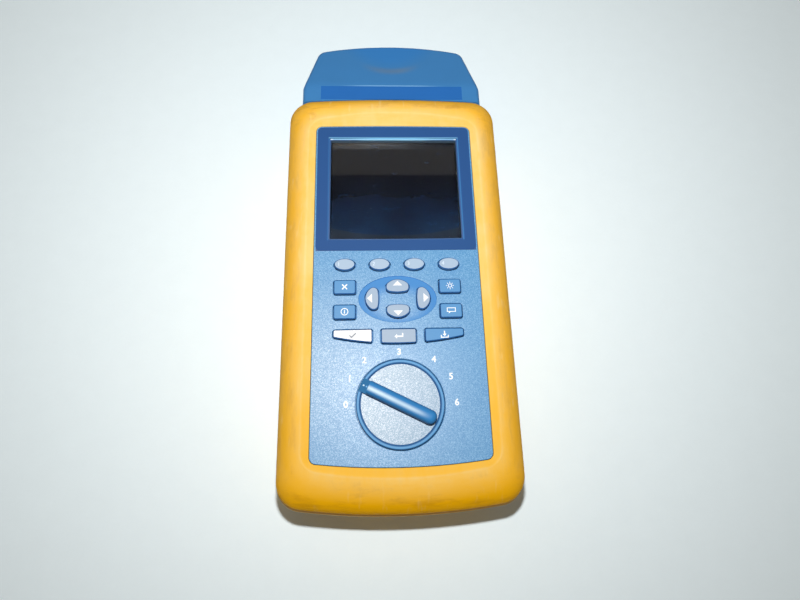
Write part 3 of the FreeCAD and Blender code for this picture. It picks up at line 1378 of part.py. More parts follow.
jack_face = adapter_end - s.jack_inset
jack_back = jack_face - s.jack_length
port_top = s.jack_top - s.port_roof
port_under = port_top - s.port_height
jack_block = box(
    "jack_block", -s.jack_half_width, s.jack_half_width, jack_back, jack_face,
    s.jack_bottom, s.jack_top)
port_back = jack_face - s.port_depth
port = box(
    "jack_port", -s.port_width / 2, s.port_width / 2, port_back, jack_face, port_under, port_top)
notch = box(
    "jack_notch", -s.notch_width / 2, s.notch_width / 2, port_back, jack_face,
    port_under - s.notch_height, port_under)
keep(cut("adapter_jack", jack_block, [port, notch]), "adapter_jack")
contacts = []
for i in range(CONTACT_COUNT):
    contact_x = s.contact_pitch * (i - (CONTACT_COUNT - 1) / 2)
    contacts.append(box(
        f"contact_{i}", contact_x - s.contact_width / 2, contact_x + s.contact_width / 2,
        port_back, port_back + s.contact_length, port_top - s.contact_height, port_top))
keep(group("jack_contacts", contacts), "jack_contacts")
adapter_board_far = adapter_end - s.adapter_board_inset
keep(
    box(
        "adapter_board", -s.adapter_board_half, s.adapter_board_half,
        adapter_board_far - s.adapter_board_length, adapter_board_far,
        s.jack_bottom - s.board_thickness, s.jack_bottom),
    "adapter_board")
plug_tip = far_end - s.plug_depth
keep(
    box(
        "adapter_plug", -s.plug_half_width, s.plug_half_width, plug_tip, far_end + s.plug_body,
        s.plug_bottom, s.plug_top),
    "adapter_plug")
adapter_screws = [
    screw(
        f"adapter_screw_{i}", x, y, s.adapter_bottom + s.adapter_seat_depth,
        s.adapter_parting + s.adapter_screw_bite - s.screw_end_gap, s.screw_radius,
        s.screw_head_radius, s.screw_head_height)
    for i, (x, y) in enumerate(adapter_screw_places)]
keep(group("adapter_screws", adapter_screws), "adapter_screws")

socket_far = inner_far - s.socket_end_gap
socket_x = s.plug_half_width + s.plug_gap + s.socket_wall
socket_block = box(
    "socket_block", -socket_x, socket_x, socket_far - s.socket_length, socket_far,
    measure_top, s.plug_top + s.plug_gap + s.socket_wall)
socket_hollow = box(
    "socket_hollow", -(s.plug_half_width + s.plug_gap), s.plug_half_width + s.plug_gap,
    socket_far - s.socket_depth, socket_far, s.plug_bottom - s.plug_gap, s.plug_top + s.plug_gap)
keep(cut("adapter_socket", socket_block, [socket_hollow]), "adapter_socket")


# Release slide on the back

slide_far = far_end - s.release_inset
slide_near = slide_far - s.release_length
slide_top = s.foot_height + s.release_sink - s.release_gap / 2
stem_far = slide_far - s.stem_inset
stem_near = stem_far - s.stem_length
hook_under = back_inside + s.hook_lift
hook_top = hook_under + s.hook_thickness
rear.block(
    "Subtractive", -(s.release_half_width + s.release_gap), s.release_half_width + s.release_gap,
    slide_near - s.release_travel - s.release_gap, slide_far + s.release_gap,
    s.foot_height, s.foot_height + s.release_sink)
rear.block(
    "Subtractive", -(s.stem_half_width + s.release_gap), s.stem_half_width + s.release_gap,
    stem_near - s.release_travel - s.release_gap, stem_far + s.release_gap,
    s.foot_height, back_inside)
rear.block(
    "Subtractive", -(s.hook_half_width + s.hook_gap), s.hook_half_width + s.hook_gap,
    inner_far - s.case_wall, far_end + s.case_wall,
    s.hook_nose_bottom - s.hook_gap, s.hook_nose_top + s.hook_gap)
slide_plate = box(
    "slide_plate", -s.release_half_width, s.release_half_width, slide_near, slide_far,
    slide_top - s.release_thickness, slide_top)
slide_stem = box(
    "slide_stem", -s.stem_half_width, s.stem_half_width, stem_near, stem_far,
    slide_top - s.release_thickness, hook_under)
keep(fuse("release_slide", [slide_plate, slide_stem]), "release_slide")
riser_far = far_end - s.hook_riser_inset
riser_near = riser_far - s.hook_riser
hook_sides = (-s.hook_half_width, s.hook_half_width)
hook_plate = box("hook_plate", *hook_sides, stem_near, riser_far, hook_under, hook_top)
hook_riser = box("hook_rise", *hook_sides, riser_near, riser_far, hook_under, s.hook_nose_top)
hook_nose = box(
    "hook_nose", *hook_sides, riser_near, far_end + s.hook_nose_reach,
    s.hook_nose_bottom, s.hook_nose_top)
keep(fuse("release_hook", [hook_plate, hook_riser, hook_nose]), "release_hook")


# Connectors in the side walls

wall_face = -(inner_x - s.wall_gap)
port_face = -(half_width - s.port_inset)
wall_out = -(half_width + s.case_wall)
wall_in = -(inner_x - s.case_wall)

serial_z = s.serial_height
flange_y = s.serial_flange_width / 2
flange_z = s.serial_flange_height / 2
rear.block(
    "Subtractive", wall_out, wall_in,
    s.serial_y - flange_y + s.serial_window_margin, s.serial_y + flange_y - s.serial_window_margin,
    serial_z - flange_z + s.serial_window_margin, serial_z + flange_z - s.serial_window_margin)
flange_back = wall_face + s.serial_flange_thickness
flange = box(
    "serial_flange", wall_face, flange_back, s.serial_y - flange_y, s.serial_y + flange_y,
    serial_z - flange_z, serial_z + flange_z)
body_half = s.serial_body_width / 2
serial_body = box(
    "serial_body", wall_face, flange_back + s.serial_body_depth,
    s.serial_y - body_half, s.serial_y + body_half, measure_top, serial_z + s.serial_shell_height / 2)
shell_y = s.serial_shell_width / 2
shell_z = s.serial_shell_height / 2
serial_tube = box(
    "serial_tube", port_face, wall_face, s.serial_y - shell_y, s.serial_y + shell_y,
    serial_z - shell_z, serial_z + shell_z)
serial_nuts = [
    side_rod(
        f"serial_nut_{i}", port_face, wall_face, s.serial_y + sign * s.serial_nut_offset, serial_z,
        s.serial_nut_radius)
    for i, sign in enumerate((-1.0, 1.0))]
tube_y = shell_y - s.serial_sheet
tube_z = shell_z - s.serial_sheet
serial_hollow = box(
    "serial_hollow", port_face, wall_face, s.serial_y - tube_y, s.serial_y + tube_y,
    serial_z - tube_z, serial_z + tube_z)
serial_blank = fuse("serial_blank", [flange, serial_body, serial_tube] + serial_nuts)
keep(cut("serial_port", serial_blank, [serial_hollow]), "serial_port")
pins = []
for count, sign in SERIAL_ROWS:
    for i in range(count):
        pin_y = s.serial_y + s.serial_pin_pitch * (i - (count - 1) / 2)
        pins.append(side_rod(
            f"serial_pin_{count}_{i}", wall_face - s.serial_pin_reach, wall_face,
            pin_y, serial_z + sign * s.serial_pin_row, s.serial_pin_radius))


def barrel_jack(name, y, half, top, depth, collar, bore, bore_depth):
    """Jack with a round collar in the left wall and a bore along x."""
    z = (measure_top + top) / 2
    rear.side_rod("Subtractive", wall_out, wall_in, y, z, collar + s.collar_gap)
    block = box(f"{name}_block", wall_face, wall_face + depth, y - half, y + half, measure_top, top)
    ring = side_rod(f"{name}_collar", port_face, wall_face + s.collar_root, y, z, collar)
    hole = side_rod(f"{name}_bore", port_face, port_face + bore_depth, y, z, bore)
    keep(cut(name, fuse(f"{name}_blank", [block, ring]), [hole]), name)
    return z


power_z = barrel_jack(
    "power_jack", s.power_y, s.power_half_width, s.power_top, s.power_depth, s.power_collar,
    s.power_bore, s.power_bore_depth)
pins.append(side_rod(
    "power_pin", port_face + s.power_pin_inset, port_face + s.power_bore_depth,
    s.power_y, power_z, s.power_pin_radius))
keep(group("port_pins", pins), "port_pins")
barrel_jack(
    "talk_jack", s.talk_y, s.talk_half_width, s.talk_top, s.talk_depth, s.talk_collar,
    s.talk_bore, s.talk_bore_depth)

slot_under = measure_top + s.card_slot_bottom
slot_top = slot_under + s.card_slot_height
rear.block(
    "Subtractive", -wall_in, -wall_out,
    s.card_y - s.card_slot_half - s.collar_gap, s.card_y + s.card_slot_half + s.collar_gap,
    slot_under - s.collar_gap, slot_top + s.collar_gap)
card_block = box(
    "card_block", -wall_face - s.card_depth, -wall_face,
    s.card_y - s.card_half_width, s.card_y + s.card_half_width,
    measure_top, measure_top + s.card_body_height)
card_gap = box(
    "card_gap", -wall_face - s.card_depth + s.card_floor, -wall_face,
    s.card_y - s.card_slot_half, s.card_y + s.card_slot_half, slot_under, slot_top)
keep(cut("card_slot", card_block, [card_gap]), "card_slot")


# Check and export

doc.recompute()
for thing in doc.Objects:
    if "Invalid" in thing.State or "Error" in thing.State:
        raise RuntimeError(f"{thing.Label} did not compute")
os.makedirs("parts", exist_ok=True)
for piece in pieces:
    shape = piece.Shape
    if shape.isNull() or not shape.isValid():
        raise RuntimeError(f"{piece.Label} has no valid shape")
    shape.exportStep(f"parts/{piece.Label}.step")
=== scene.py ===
"""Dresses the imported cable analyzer: finishes, printed marks, grip ribs, feet and a stage."""
import json
import math

import bmesh
import bpy
from bpy.props import FloatProperty, FloatVectorProperty, PointerProperty
from mathutils import Euler, Matrix, Vector


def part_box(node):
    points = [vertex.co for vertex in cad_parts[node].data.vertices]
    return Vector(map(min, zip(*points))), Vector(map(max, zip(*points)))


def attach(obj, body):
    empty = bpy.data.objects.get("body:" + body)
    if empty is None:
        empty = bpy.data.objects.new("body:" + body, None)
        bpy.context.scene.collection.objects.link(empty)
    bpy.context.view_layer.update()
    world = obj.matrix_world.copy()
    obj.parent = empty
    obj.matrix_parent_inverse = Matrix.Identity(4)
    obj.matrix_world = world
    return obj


bl_info = {
    "name": "Cable Analyzer Dressing",
    "version": (1, 0, 0),
    "blender": (4, 5, 0),
    "location": "3D View > Sidebar > Analyzer",
    "description": "Finishes, printed marks, grip ribs, feet and stage of a cable analyzer",
    "category": "Object",
}

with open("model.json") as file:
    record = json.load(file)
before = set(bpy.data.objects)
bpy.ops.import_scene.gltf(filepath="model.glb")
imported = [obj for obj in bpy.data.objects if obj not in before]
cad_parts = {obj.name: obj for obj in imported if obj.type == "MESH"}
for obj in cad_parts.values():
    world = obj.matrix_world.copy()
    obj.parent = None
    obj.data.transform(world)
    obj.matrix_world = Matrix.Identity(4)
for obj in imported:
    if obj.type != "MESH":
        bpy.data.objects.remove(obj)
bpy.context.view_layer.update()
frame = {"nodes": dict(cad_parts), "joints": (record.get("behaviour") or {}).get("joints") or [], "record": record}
record = frame["record"]
BODY_OF = {node: body for body, nodes in record["behaviour"]["bodies"].items() for node in nodes}
JOINTS = {joint["name"]: joint for joint in frame["joints"]}

MM = 0.001
DIAL = Vector(JOINTS["dial_turn"]["pos_m"])

# Widths over which one finish turns into the next, in metres as all lengths here
LIP_BLEND = 0.0002
FRONT_BLEND = 0.004
RIM_BLEND = 0.0004
EDGE_BLEND = 0.0001
REFLECTION_BLEND = 0.0004
CREST_BLEND = 0.04    # as a share of the rolled edge

# Places along the case between which its wear, dirt and painted light change
NEAR_DIRT, NEAR_WEAR_AND_LIGHT, FAR_WEAR, FAR_DIRT = -0.140, -0.115, 0.060, 0.092
STRIP_WEAR_AND_LIGHT = -0.010

# Depths below the top of the finger bar, and below the top of the panel for the painted shade on the walls of the
# screen opening
RIDGE_DEPTH = 0.0030
WALL_START, WALL_DROP = 0.0004, 0.0014

# Distances from the middle of the adapter between which its painted highlight along the crease and its painted
# shade at the scoop rim end
CREASE_FADE = (0.012, 0.036)
RIM_SHADE_FADE = (0.004, 0.022)

# Sizes of the clouds and the grain in plastic, heights of the grain and stretch of brushed metal
CLOUD_SIZE, GRAIN_SIZE = 0.012, 0.0005
FILM_GRAIN, METAL_GRAIN, FINE_GRAIN = 0.000006, 0.00001, 0.00002
TRACK_GRAIN, COARSE_GRAIN = 0.00003, 0.00004
BRUSHED = (0.2, 4.0, 1.0)
BLACK = (34, 36, 40)

# Shapes of the print and of the ribs
NUMBER_SWELL = 0.00012
TEXT_STEPS = 6
RIB_SIDES = 16

# Surroundings: the dark patch overhead by its slope, the white tent and the backdrop as a display colour
PATCH_EDGE, PATCH_BLEND, PATCH_NARROW, HORIZON = 0.587, 0.004, 0.6, 0.01
PATCH_COLOUR = (0.06, 0.06, 0.06)
TENT_COLOUR = (0.82, 0.77, 0.69)
TENT_STRENGTH = 0.3
BACKDROP = (196, 202, 204)
FLOOR_KEPT = 0.35     # share of the floor's side up to which it is solid

LIGHT_TARGET = Vector((-0.008, 0.11, 0.0))
SENSOR_WIDTH = 36.0   # millimetres
CLIP_START = 0.01


def paint(red, green, blue):
    """Scene-linear colour of a display colour given in 0 to 255."""
    shares = [channel / 255.0 for channel in (red, green, blue)]
    return tuple(c / 12.92 if c <= 0.04045 else ((c + 0.055) / 1.055) ** 2.4 for c in shares)


def colour(name, description, *display):
    """Colour property with a display colour as its default."""
    return FloatVectorProperty(
        name=name, description=description, subtype="COLOR", size=3, min=0.0, max=1.0,
        default=paint(*display))


def length(name, description, millimetres):
    """Length property with a default in millimetres."""
    return FloatProperty(
        name=name, description=description, subtype="DISTANCE", unit="LENGTH",
        default=millimetres * MM, precision=5)


def share(name, description, default):
    """Property between 0 and 1."""
    return FloatProperty(
        name=name, description=description, subtype="FACTOR", min=0.0, max=1.0, default=default)


def position(name, description, *metres):
    """Position property with a default in metres."""
    return FloatVectorProperty(
        name=name, description=description, subtype="XYZ", unit="LENGTH", size=3, default=metres)


# Sizes and colours that a user would change

class CaseLook(bpy.types.PropertyGroup):
    """Colours, wear and painted light of the moulded case: painted highlight on the crest strip and crest line,
    painted light on the outer rim and the lip.
    """
    yellow: colour("Yellow", "Fresh colour of the case", 246, 180, 4)
    # Pale yellow: rubbed wear and scuffs, and also the painted highlight on the crest strip and crest line and the
    # painted light on the outer rim
    faded: colour("Faded", "Colour of rubbed areas", 245, 214, 142)
    grime: colour("Grime", "Colour of ground-in dirt", 172, 112, 24)
    # The pale lip is partly wear and partly painted light, with more painted light at the near end where the lip
    # lies in the case's shadow
    lip: colour("Lip", "Worn lip of the rear half", 252, 228, 172)
    wear: share("Wear", "Strength of the rubbed areas", 1.0)
    roll_fade: share("Roll fade", "Fading of the rolled edge", 0.45)
    far_fade: share("Far fade", "Further fading of that edge away from the near end", 0.37)
    near_fade: share("Near fade", "Further fading of that edge at the near end", 0.36)
    # Strip and line shares: a painted highlight on the strip inside the crest and on the crest line, together with
    # wear
    strip_fade: share("Strip fade", "Fading of the strip inside the crest", 0.28)
    far_strip: share("Far strip", "Further fading of that strip away from the near end", 0.43)
    line_fade: share("Line fade", "Fading of the crest line", 0.15)
    # Rim share: painted light that lifts the shaded outer edge of the rolled edge
    rim_fade: share("Rim fade", "Fading of the outer rim", 0.24)
    lip_fade: share("Lip fade", "Wear of the lip", 0.30)
    near_lip: share("Near lip", "Further wear of the lip at the near end", 0.55)
    side_roll: length("Side roll", "Width of the rolled edge at the sides", 13.35)
    near_roll: length("Near roll", "Width of the rolled edge at the near end", 18.0)
    far_roll: length("Far roll", "Width of the rolled edge at the adapter end", 15.0)
    near_bow: length("Near bow", "Radius of the crest line at the near end", 240.0)
    far_bow: length("Far bow", "Radius of the crest line at the far end", 215.0)
    crest_corner: length("Crest corner", "Corner radius of the crest line", 8.0)
    dirt: share("Dirt", "Strength of the dirt", 0.6)
    thin_dirt: share("Thin dirt", "Dirt all over the case", 0.08)
    roll_dirt: share("Roll dirt", "Dirt on the rolled edge", 0.30)
    far_dirt: share("Far dirt", "Further dirt on that edge at the far end", 0.45)
    near_dirt: share("Near dirt", "Further dirt low on that edge at the near end", 0.13)
    scuffs: share("Scuffs", "Strength of the pale scuffs on the rolled edge", 0.35)
    broad_size: length("Broad size", "Size of the broad clouds in the wear", 45.0)
    patch_size: length("Patch size", "Size of the patches in the wear", 9.0)
    streak_size: length("Streak size", "Size of the streaks along the edges", 7.0)
    scuff_size: length("Scuff size", "Size of the scuffs", 3.0)
    lip_low: length("Lip underside", "Height of the underside of the lip", 48.2)
    lip_high: length("Lip top", "Height of the top of the lip", 50.0)


class PanelLook(bpy.types.PropertyGroup):
    """Colours and edges of the front panel, its overlay and the display, with painted light and shade on the
    screen opening and a painted reflection on the display.
    """
    panel: colour("Panel", "Blue of the panel paint", 72, 140, 192)
    flake: colour("Flake", "Bright flakes in the panel paint", 152, 200, 232)
    dish_blue: colour("Dish", "Blue of the oval dish", 38, 128, 196)
    overlay: colour("Overlay", "Blue of the display overlay", 41, 82, 138)
    display: colour("Display", "Dark display", 8, 12, 23)
    haze: colour("Haze", "Haze on the display", 36, 70, 116)
    dish_width: length("Dish width", "Width of the oval dish", 42.1)
    dish_length: length("Dish length", "Length of the oval dish", 26.0)
    dish_shift: share("Dish shift", "Pale middle of the dish towards the near end", 0.22)
    flake_size: length("Flake size", "Size of the bright flakes", 0.32)
    # Edge, far edge, glint and wall: painted shade on the sides and walls of the screen opening, painted highlight
    # and glints on its far edge
    edge: colour("Edge", "Edge of the screen opening", 46, 88, 142)
    far_edge: colour("Far edge", "Far edge of the screen opening", 124, 186, 222)
    glint: colour("Glint", "Corners of that far edge", 226, 244, 252)
    wall: colour("Wall", "Walls of the screen opening", 56, 80, 100)
    opening_inset: length("Opening inset", "Overlay opening inside the window outline", 1.6)
    edge_width: length("Edge width", "Width of the edge seen in that opening", 0.8)
    glint_length: length("Glint length", "Length of the pale corners", 2.6)
    # Bevel width and side colour: a painted highlight on the overlay's bevel round the screen
    bevel_width: length("Bevel width", "Bevel of the overlay round the screen", 0.9)
    side_edge: colour("Side edge", "Bevel of the overlay beside the screen", 66, 130, 190)
    # Film: a painted greyish reflection in an arc along the near side of the display
    film: colour("Film", "Greyish film at the near side of the display", 54, 58, 54)
    film_low: length("Film width", "Width of that film in the middle", 5.0)
    film_rise: length("Film rise", "Further width of that film at the sides", 5.5)


class KeyLook(bpy.types.PropertyGroup):
    """Colours of the keys, the painted shade on their edges and sides, and sizes of the marks on them."""
    grey: colour("Grey", "Oval grey keys", 169, 191, 213)
    deep_grey: colour("Deep grey", "Arrow keys and the wide grey key", 160, 180, 202)
    blue: colour("Blue", "Blue keys", 84, 148, 202)
    # Skirt and side: painted shade on the rounded edges and lower sides of the keys, standing in for the shadowed
    # gap round each key
    skirt: colour("Skirt", "Rounded edges and sides of the keys", 34, 96, 160)
    skirt_drop: length("Skirt drop", "Dark edges below the top of a key", 0.03)
    side: colour("Side", "Lower sides of the keys", 84, 136, 186)
    side_drop: length("Side drop", "Lower sides below the top of a key", 0.5)
    white: colour("White", "White key", 250, 250, 250)
    mark: colour("Mark", "Printed marks", 245, 248, 252)
    mark_grey: colour("Grey mark", "Mark on the white key", 120, 132, 150)
    digit: colour("Digit", "Digits on the oval keys", 214, 228, 242)
    print_height: length("Print height", "Thickness of the printed marks", 0.05)
    digit_size: length("Digit size", "Size of the digits on the oval keys", 3.0)
    digit_shift: length("Digit shift", "Digits left of the middle of the oval keys", 3.2)


class DialLook(bpy.types.PropertyGroup):
    """Colours and marks of the rotary dial, with painted shade at the edges of the knob rim and a painted
    highlight along the finger bar.
    """
    knob: colour("Knob", "Blue of the knob rim", 98, 160, 210)
    bar: colour("Bar", "Blue of the finger bar", 52, 132, 196)
    step: colour("Step", "Blue of the low end of the bar", 44, 110, 158)
    # Groove: painted shade at both edges of the rounded knob rim; the band between them keeps the knob blue
    groove: colour("Groove", "Dark edges of the knob rim", 34, 88, 144)
    band_place: share("Band place", "Pale band on the knob rim, 0 at its inner edge", 0.60)
    band_width: share("Band width", "Half width of that band as a share of the rim", 0.27)
    face: colour("Face", "Pale face of the dial", 124, 158, 186)
    face_flake: colour("Face flake", "Bright flakes in the dial face", 206, 221, 235)
    # Ridge: a painted highlight along the top of the finger bar, beside its middle
    ridge: colour("Ridge", "Rubbed ridge of the finger bar", 210, 234, 248)
    ridge_shift: length("Ridge shift", "Rubbed ridge beside the middle of the bar", -0.6)
    ridge_width: length("Ridge width", "Half width of the rubbed ridge", 1.9)
    ridge_end: length("Ridge end", "End of the rubbed ridge behind the dial centre", 17.0)
    pointer: FloatProperty(
        name="Pointer angle", description="Direction of the pointer from +X at rest",
        subtype="ANGLE", unit="ROTATION", default=math.radians(153.2))
    dot_blue: colour("Dot", "Inner pointer dot", 96, 164, 216)
    dot_white: colour("White dot", "Outer pointer dot", 196, 228, 246)
    dot_radius: length("Dot radius", "Radius of the pointer dots", 0.45)
    inner_reach: length("Inner reach", "Inner pointer dot from the dial centre", 19.2)
    outer_reach: length("Outer reach", "Outer pointer dot from the dial centre", 20.8)
    step_reach: length("Step reach", "Low end of the bar from the dial centre", 16.4)
    bar_width: length("Bar width", "Half width of the finger bar", 3.6)
    number_size: length("Number size", "Size of the numbers round the dial", 4.6)


class AdapterLook(bpy.types.PropertyGroup):
    """Colours of the link adapter, with a painted highlight along its crease and painted shade at the rim of the
    thumb scoop.
    """
    shell: colour("Shell", "Blue of the adapter", 58, 127, 187)
    label: colour("Label", "Blue of the label strip", 32, 102, 176)
    # Painted highlight along the crease
    rubbed: colour("Rubbed", "Rubbed crease of the adapter", 130, 184, 226)
    # Painted shade at the near rim of the thumb scoop
    grub: colour("Grub", "Dirt at the rim of the thumb scoop", 112, 122, 120)
    crease: length("Crease", "Crease of the top beyond the case end", 11.4)
    crease_width: length("Crease width", "Half width of the rubbed crease", 0.7)
    scoop_start: length("Scoop start", "Near rim of the thumb scoop beyond the case end", 23.2)
    scoop_radius: length("Scoop radius", "Plan radius of the thumb scoop", 36.0)
    # Width and inset of that painted shade
    rim_width: length("Rim width", "Half width of the dirt at that rim", 4.2)
    rim_inset: length("Rim inset", "Middle of that dirt inside the rim", 1.2)
    scoop: colour("Scoop", "Deeper blue inside the thumb scoop", 44, 122, 192)


class BackLook(bpy.types.PropertyGroup):
    """Grip ribs on the back."""
    rib_pitch: length("Rib pitch", "Spacing of the grip ribs", 2.2)
    rib_radius: length("Rib radius", "Radius of a grip rib", 0.45)
    rib_margin: length("Rib margin", "Ribs from the edges of their slide", 1.6)


class StageLook(bpy.types.PropertyGroup):
    """Camera, lights and floor."""
    camera_place: position("Camera place", "Camera position", -0.01139, -0.11143, 0.3251)
    camera_turn: FloatVectorProperty(
        name="Camera turn", description="Camera rotation", subtype="EULER", unit="ROTATION", size=3,
        default=tuple(math.radians(angle) for angle in (16.4, -2.34, -1.51)))
    lens: FloatProperty(
        name="Lens", description="Focal length on a 36 mm sensor", default=22.5, unit="CAMERA")
    flash_place: position("Flash place", "Position of the key light", -0.0115, -0.066, 0.338)
    flash_size: length("Flash size", "Diameter of the key light", 12.0)
    flash_power: FloatProperty(name="Flash power", description="Key light in watts", default=11.5)
    sheen_shift: position("Sheen shift", "Sheen light from the key light", -0.048, 0.036, 0.0)
    sheen_size: length("Sheen size", "Diameter of the sheen light", 60.0)
    sheen_power: FloatProperty(name="Sheen power", description="Sheen light in watts", default=9.3)
    sheen_tint: colour("Sheen tint", "Colour of the sheen light", 255, 232, 190)
    floor_colour: colour("Floor", "Colour of the floor", 231, 243, 247)
    floor_size: FloatProperty(
        name="Floor size", description="Side of the floor", subtype="DISTANCE", default=1.3)


LOOKS = {
    "analyzer_case": CaseLook,
    "analyzer_panel": PanelLook,
    "analyzer_keys": KeyLook,
    "analyzer_dial": DialLook,
    "analyzer_adapter": AdapterLook,
    "analyzer_back": BackLook,
    "analyzer_stage": StageLook,
}


# Node building

class Field:
    """An output socket in a tree; arithmetic on it adds Math nodes."""

    def __init__(self, nodes, socket):
        self.nodes = nodes
        self.socket = socket

    def math(self, operation, first, second):
        return self.nodes.node("ShaderNodeMath", {"operation": operation}, {0: first, 1: second})

    def __add__(self, other):
        return self.math("ADD", self, other)

    def __radd__(self, other):
        return self.math("ADD", other, self)

    def __sub__(self, other):
        return self.math("SUBTRACT", self, other)

    def __rsub__(self, other):
        return self.math("SUBTRACT", other, self)

    def __mul__(self, other):
        return self.math("MULTIPLY", self, other)

    def __rmul__(self, other):
        return self.math("MULTIPLY", other, self)

    def __truediv__(self, other):
        return self.math("DIVIDE", self, other)

    def __pow__(self, other):
        return self.math("POWER", self, other)

    def __abs__(self):
        return self.math("ABSOLUTE", self, 0.0)

    def largest(self, other):
        return self.math("MAXIMUM", self, other)

    def smallest(self, other):
        return self.math("MINIMUM", self, other)


class Nodes:
    """The nodes of one tree, all made by one method."""

    def __init__(self, tree):
        self.tree = tree
        tree.nodes.clear()

    def feed(self, socket, value):
        """Links a field to a socket, or sets the socket's own value."""
        if isinstance(value, Field):
            self.tree.links.new(value.socket, socket)
        elif socket.type == "RGBA" and len(value) == 3:
            socket.default_value = (*value, 1.0)
        else:
            socket.default_value = value

    def node(self, kind, settings=None, inputs=None, output=0):
        """Adds a node: its settings first, then its sockets. Gives one output as a field."""
        made = self.tree.nodes.new(kind)
        for name, value in (settings or {}).items():
            setattr(made, name, value)
        for socket, value in (inputs or {}).items():
            self.feed(made.inputs[socket], value)
        return Field(self, made.outputs[output])

    def band(self, value, low, high):
        """0 below low, 1 above high and smooth between them."""
        return self.node(
            "ShaderNodeMapRange", {"interpolation_type": "SMOOTHSTEP"},
            {"Value": value, "From Min": low, "From Max": high})

    def mix(self, amount, first, second):
        """Colour between two colours."""
        return self.node("ShaderNodeMix", {"data_type": "RGBA"}, {0: amount, 6: first, 7: second}, 2)


class Finish(Nodes):
    """A procedural material on one Principled shader."""

    def __init__(self, name, fixed=None):
        self.material = bpy.data.materials.new(name)
        self.material.use_nodes = True
        super().__init__(self.material.node_tree)
        output = self.tree.nodes.new("ShaderNodeOutputMaterial")
        self.shader = self.tree.nodes.new("ShaderNodeBsdfPrincipled")
        self.tree.links.new(self.shader.outputs["BSDF"], output.inputs["Surface"])
        for socket, value in (fixed or {}).items():
            self.set(socket, value)
        self.place = self.node("ShaderNodeTexCoord", output="Object")

    def set(self, socket, value):
        """Feeds an input of the shader."""
        self.feed(self.shader.inputs[socket], value)

    def axis(self, name):
        """One coordinate of the place, in metres."""
        return self.node("ShaderNodeSeparateXYZ", None, {"Vector": self.place}, name)

    def stretched(self, x, y, z):
        """The place scaled along each axis."""
        return self.node(
            "ShaderNodeMapping", {"vector_type": "POINT"},
            {"Vector": self.place, "Scale": (x, y, z)})

    def noise(self, size, detail=2.0, roughness=0.5, place=None):
        """Soft noise between 0 and 1 with features of a size in metres."""
        return self.node(
            "ShaderNodeTexNoise", None,
            {"Vector": place or self.place, "Scale": 1.0 / size, "Detail": detail,
             "Roughness": roughness})

    def flakes(self, size):
        """A random value between 0 and 1 for each cell of a size in metres."""
        cells = self.node(
            "ShaderNodeTexVoronoi", {"feature": "F1"},
            {"Vector": self.place, "Scale": 1.0 / size}, "Color")
        return self.node("ShaderNodeSeparateColor", None, {"Color": cells}, "Red")

    def fade(self, value, low, high):
        """1 below low, 0 above high and smooth between them."""
        return 1.0 - self.band(value, low, high)

    def ramp(self, value, low, high):
        """0 at low, 1 at high and straight between them."""
        return self.node(
            "ShaderNodeMapRange", {"clamp": True}, {"Value": value, "From Min": low, "From Max": high})

    def grained(self, base, coarse, grain, low, high):
        """Colour between two shares of a base colour. Gives it, its coarse and its fine noise."""
        uneven = self.noise(coarse, 3.0)
        fine = self.noise(grain, 2.0, 0.6)
        deeper = tuple(channel * low for channel in base)
        lighter = tuple(min(1.0, channel * high) for channel in base)
        return self.mix(uneven * 0.6 + fine * 0.4, deeper, lighter), uneven, fine

    def bump(self, height, depth):
        """Raises the surface by a field times a depth in metres."""
        normal = self.node("ShaderNodeBump", None, {"Height": height, "Distance": depth})
        self.set("Normal", normal)


def reach(first, second):
    """Distance from the origin of two axes."""
    return (first * first + second * second) ** 0.5


def past(field, low, high):
    """Distance outside a range, below 0 inside it."""
    return abs(field - (low + high) / 2) - (high - low) / 2


# Finishes

def crest_distance(finish, look):
    """Distance outwards from the crest line round the panel, as a share of the rolled edge."""
    low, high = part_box("front_case")
    across = finish.axis("X")
    along = finish.axis("Y")
    corner = look.crest_corner
    bend = across * across
    beside = abs(across) - (high.x - look.side_roll - corner)
    before = low.y + look.near_roll + corner - along + bend * (0.5 / look.near_bow)
    beyond = along - (high.y - look.far_roll - corner) + bend * (0.5 / look.far_bow)
    ends = before.largest(beyond)
    rounded = reach(beside.largest(0.0), ends.largest(0.0))
    outward = rounded + beside.largest(ends).smallest(0.0) - corner
    return outward / look.side_roll


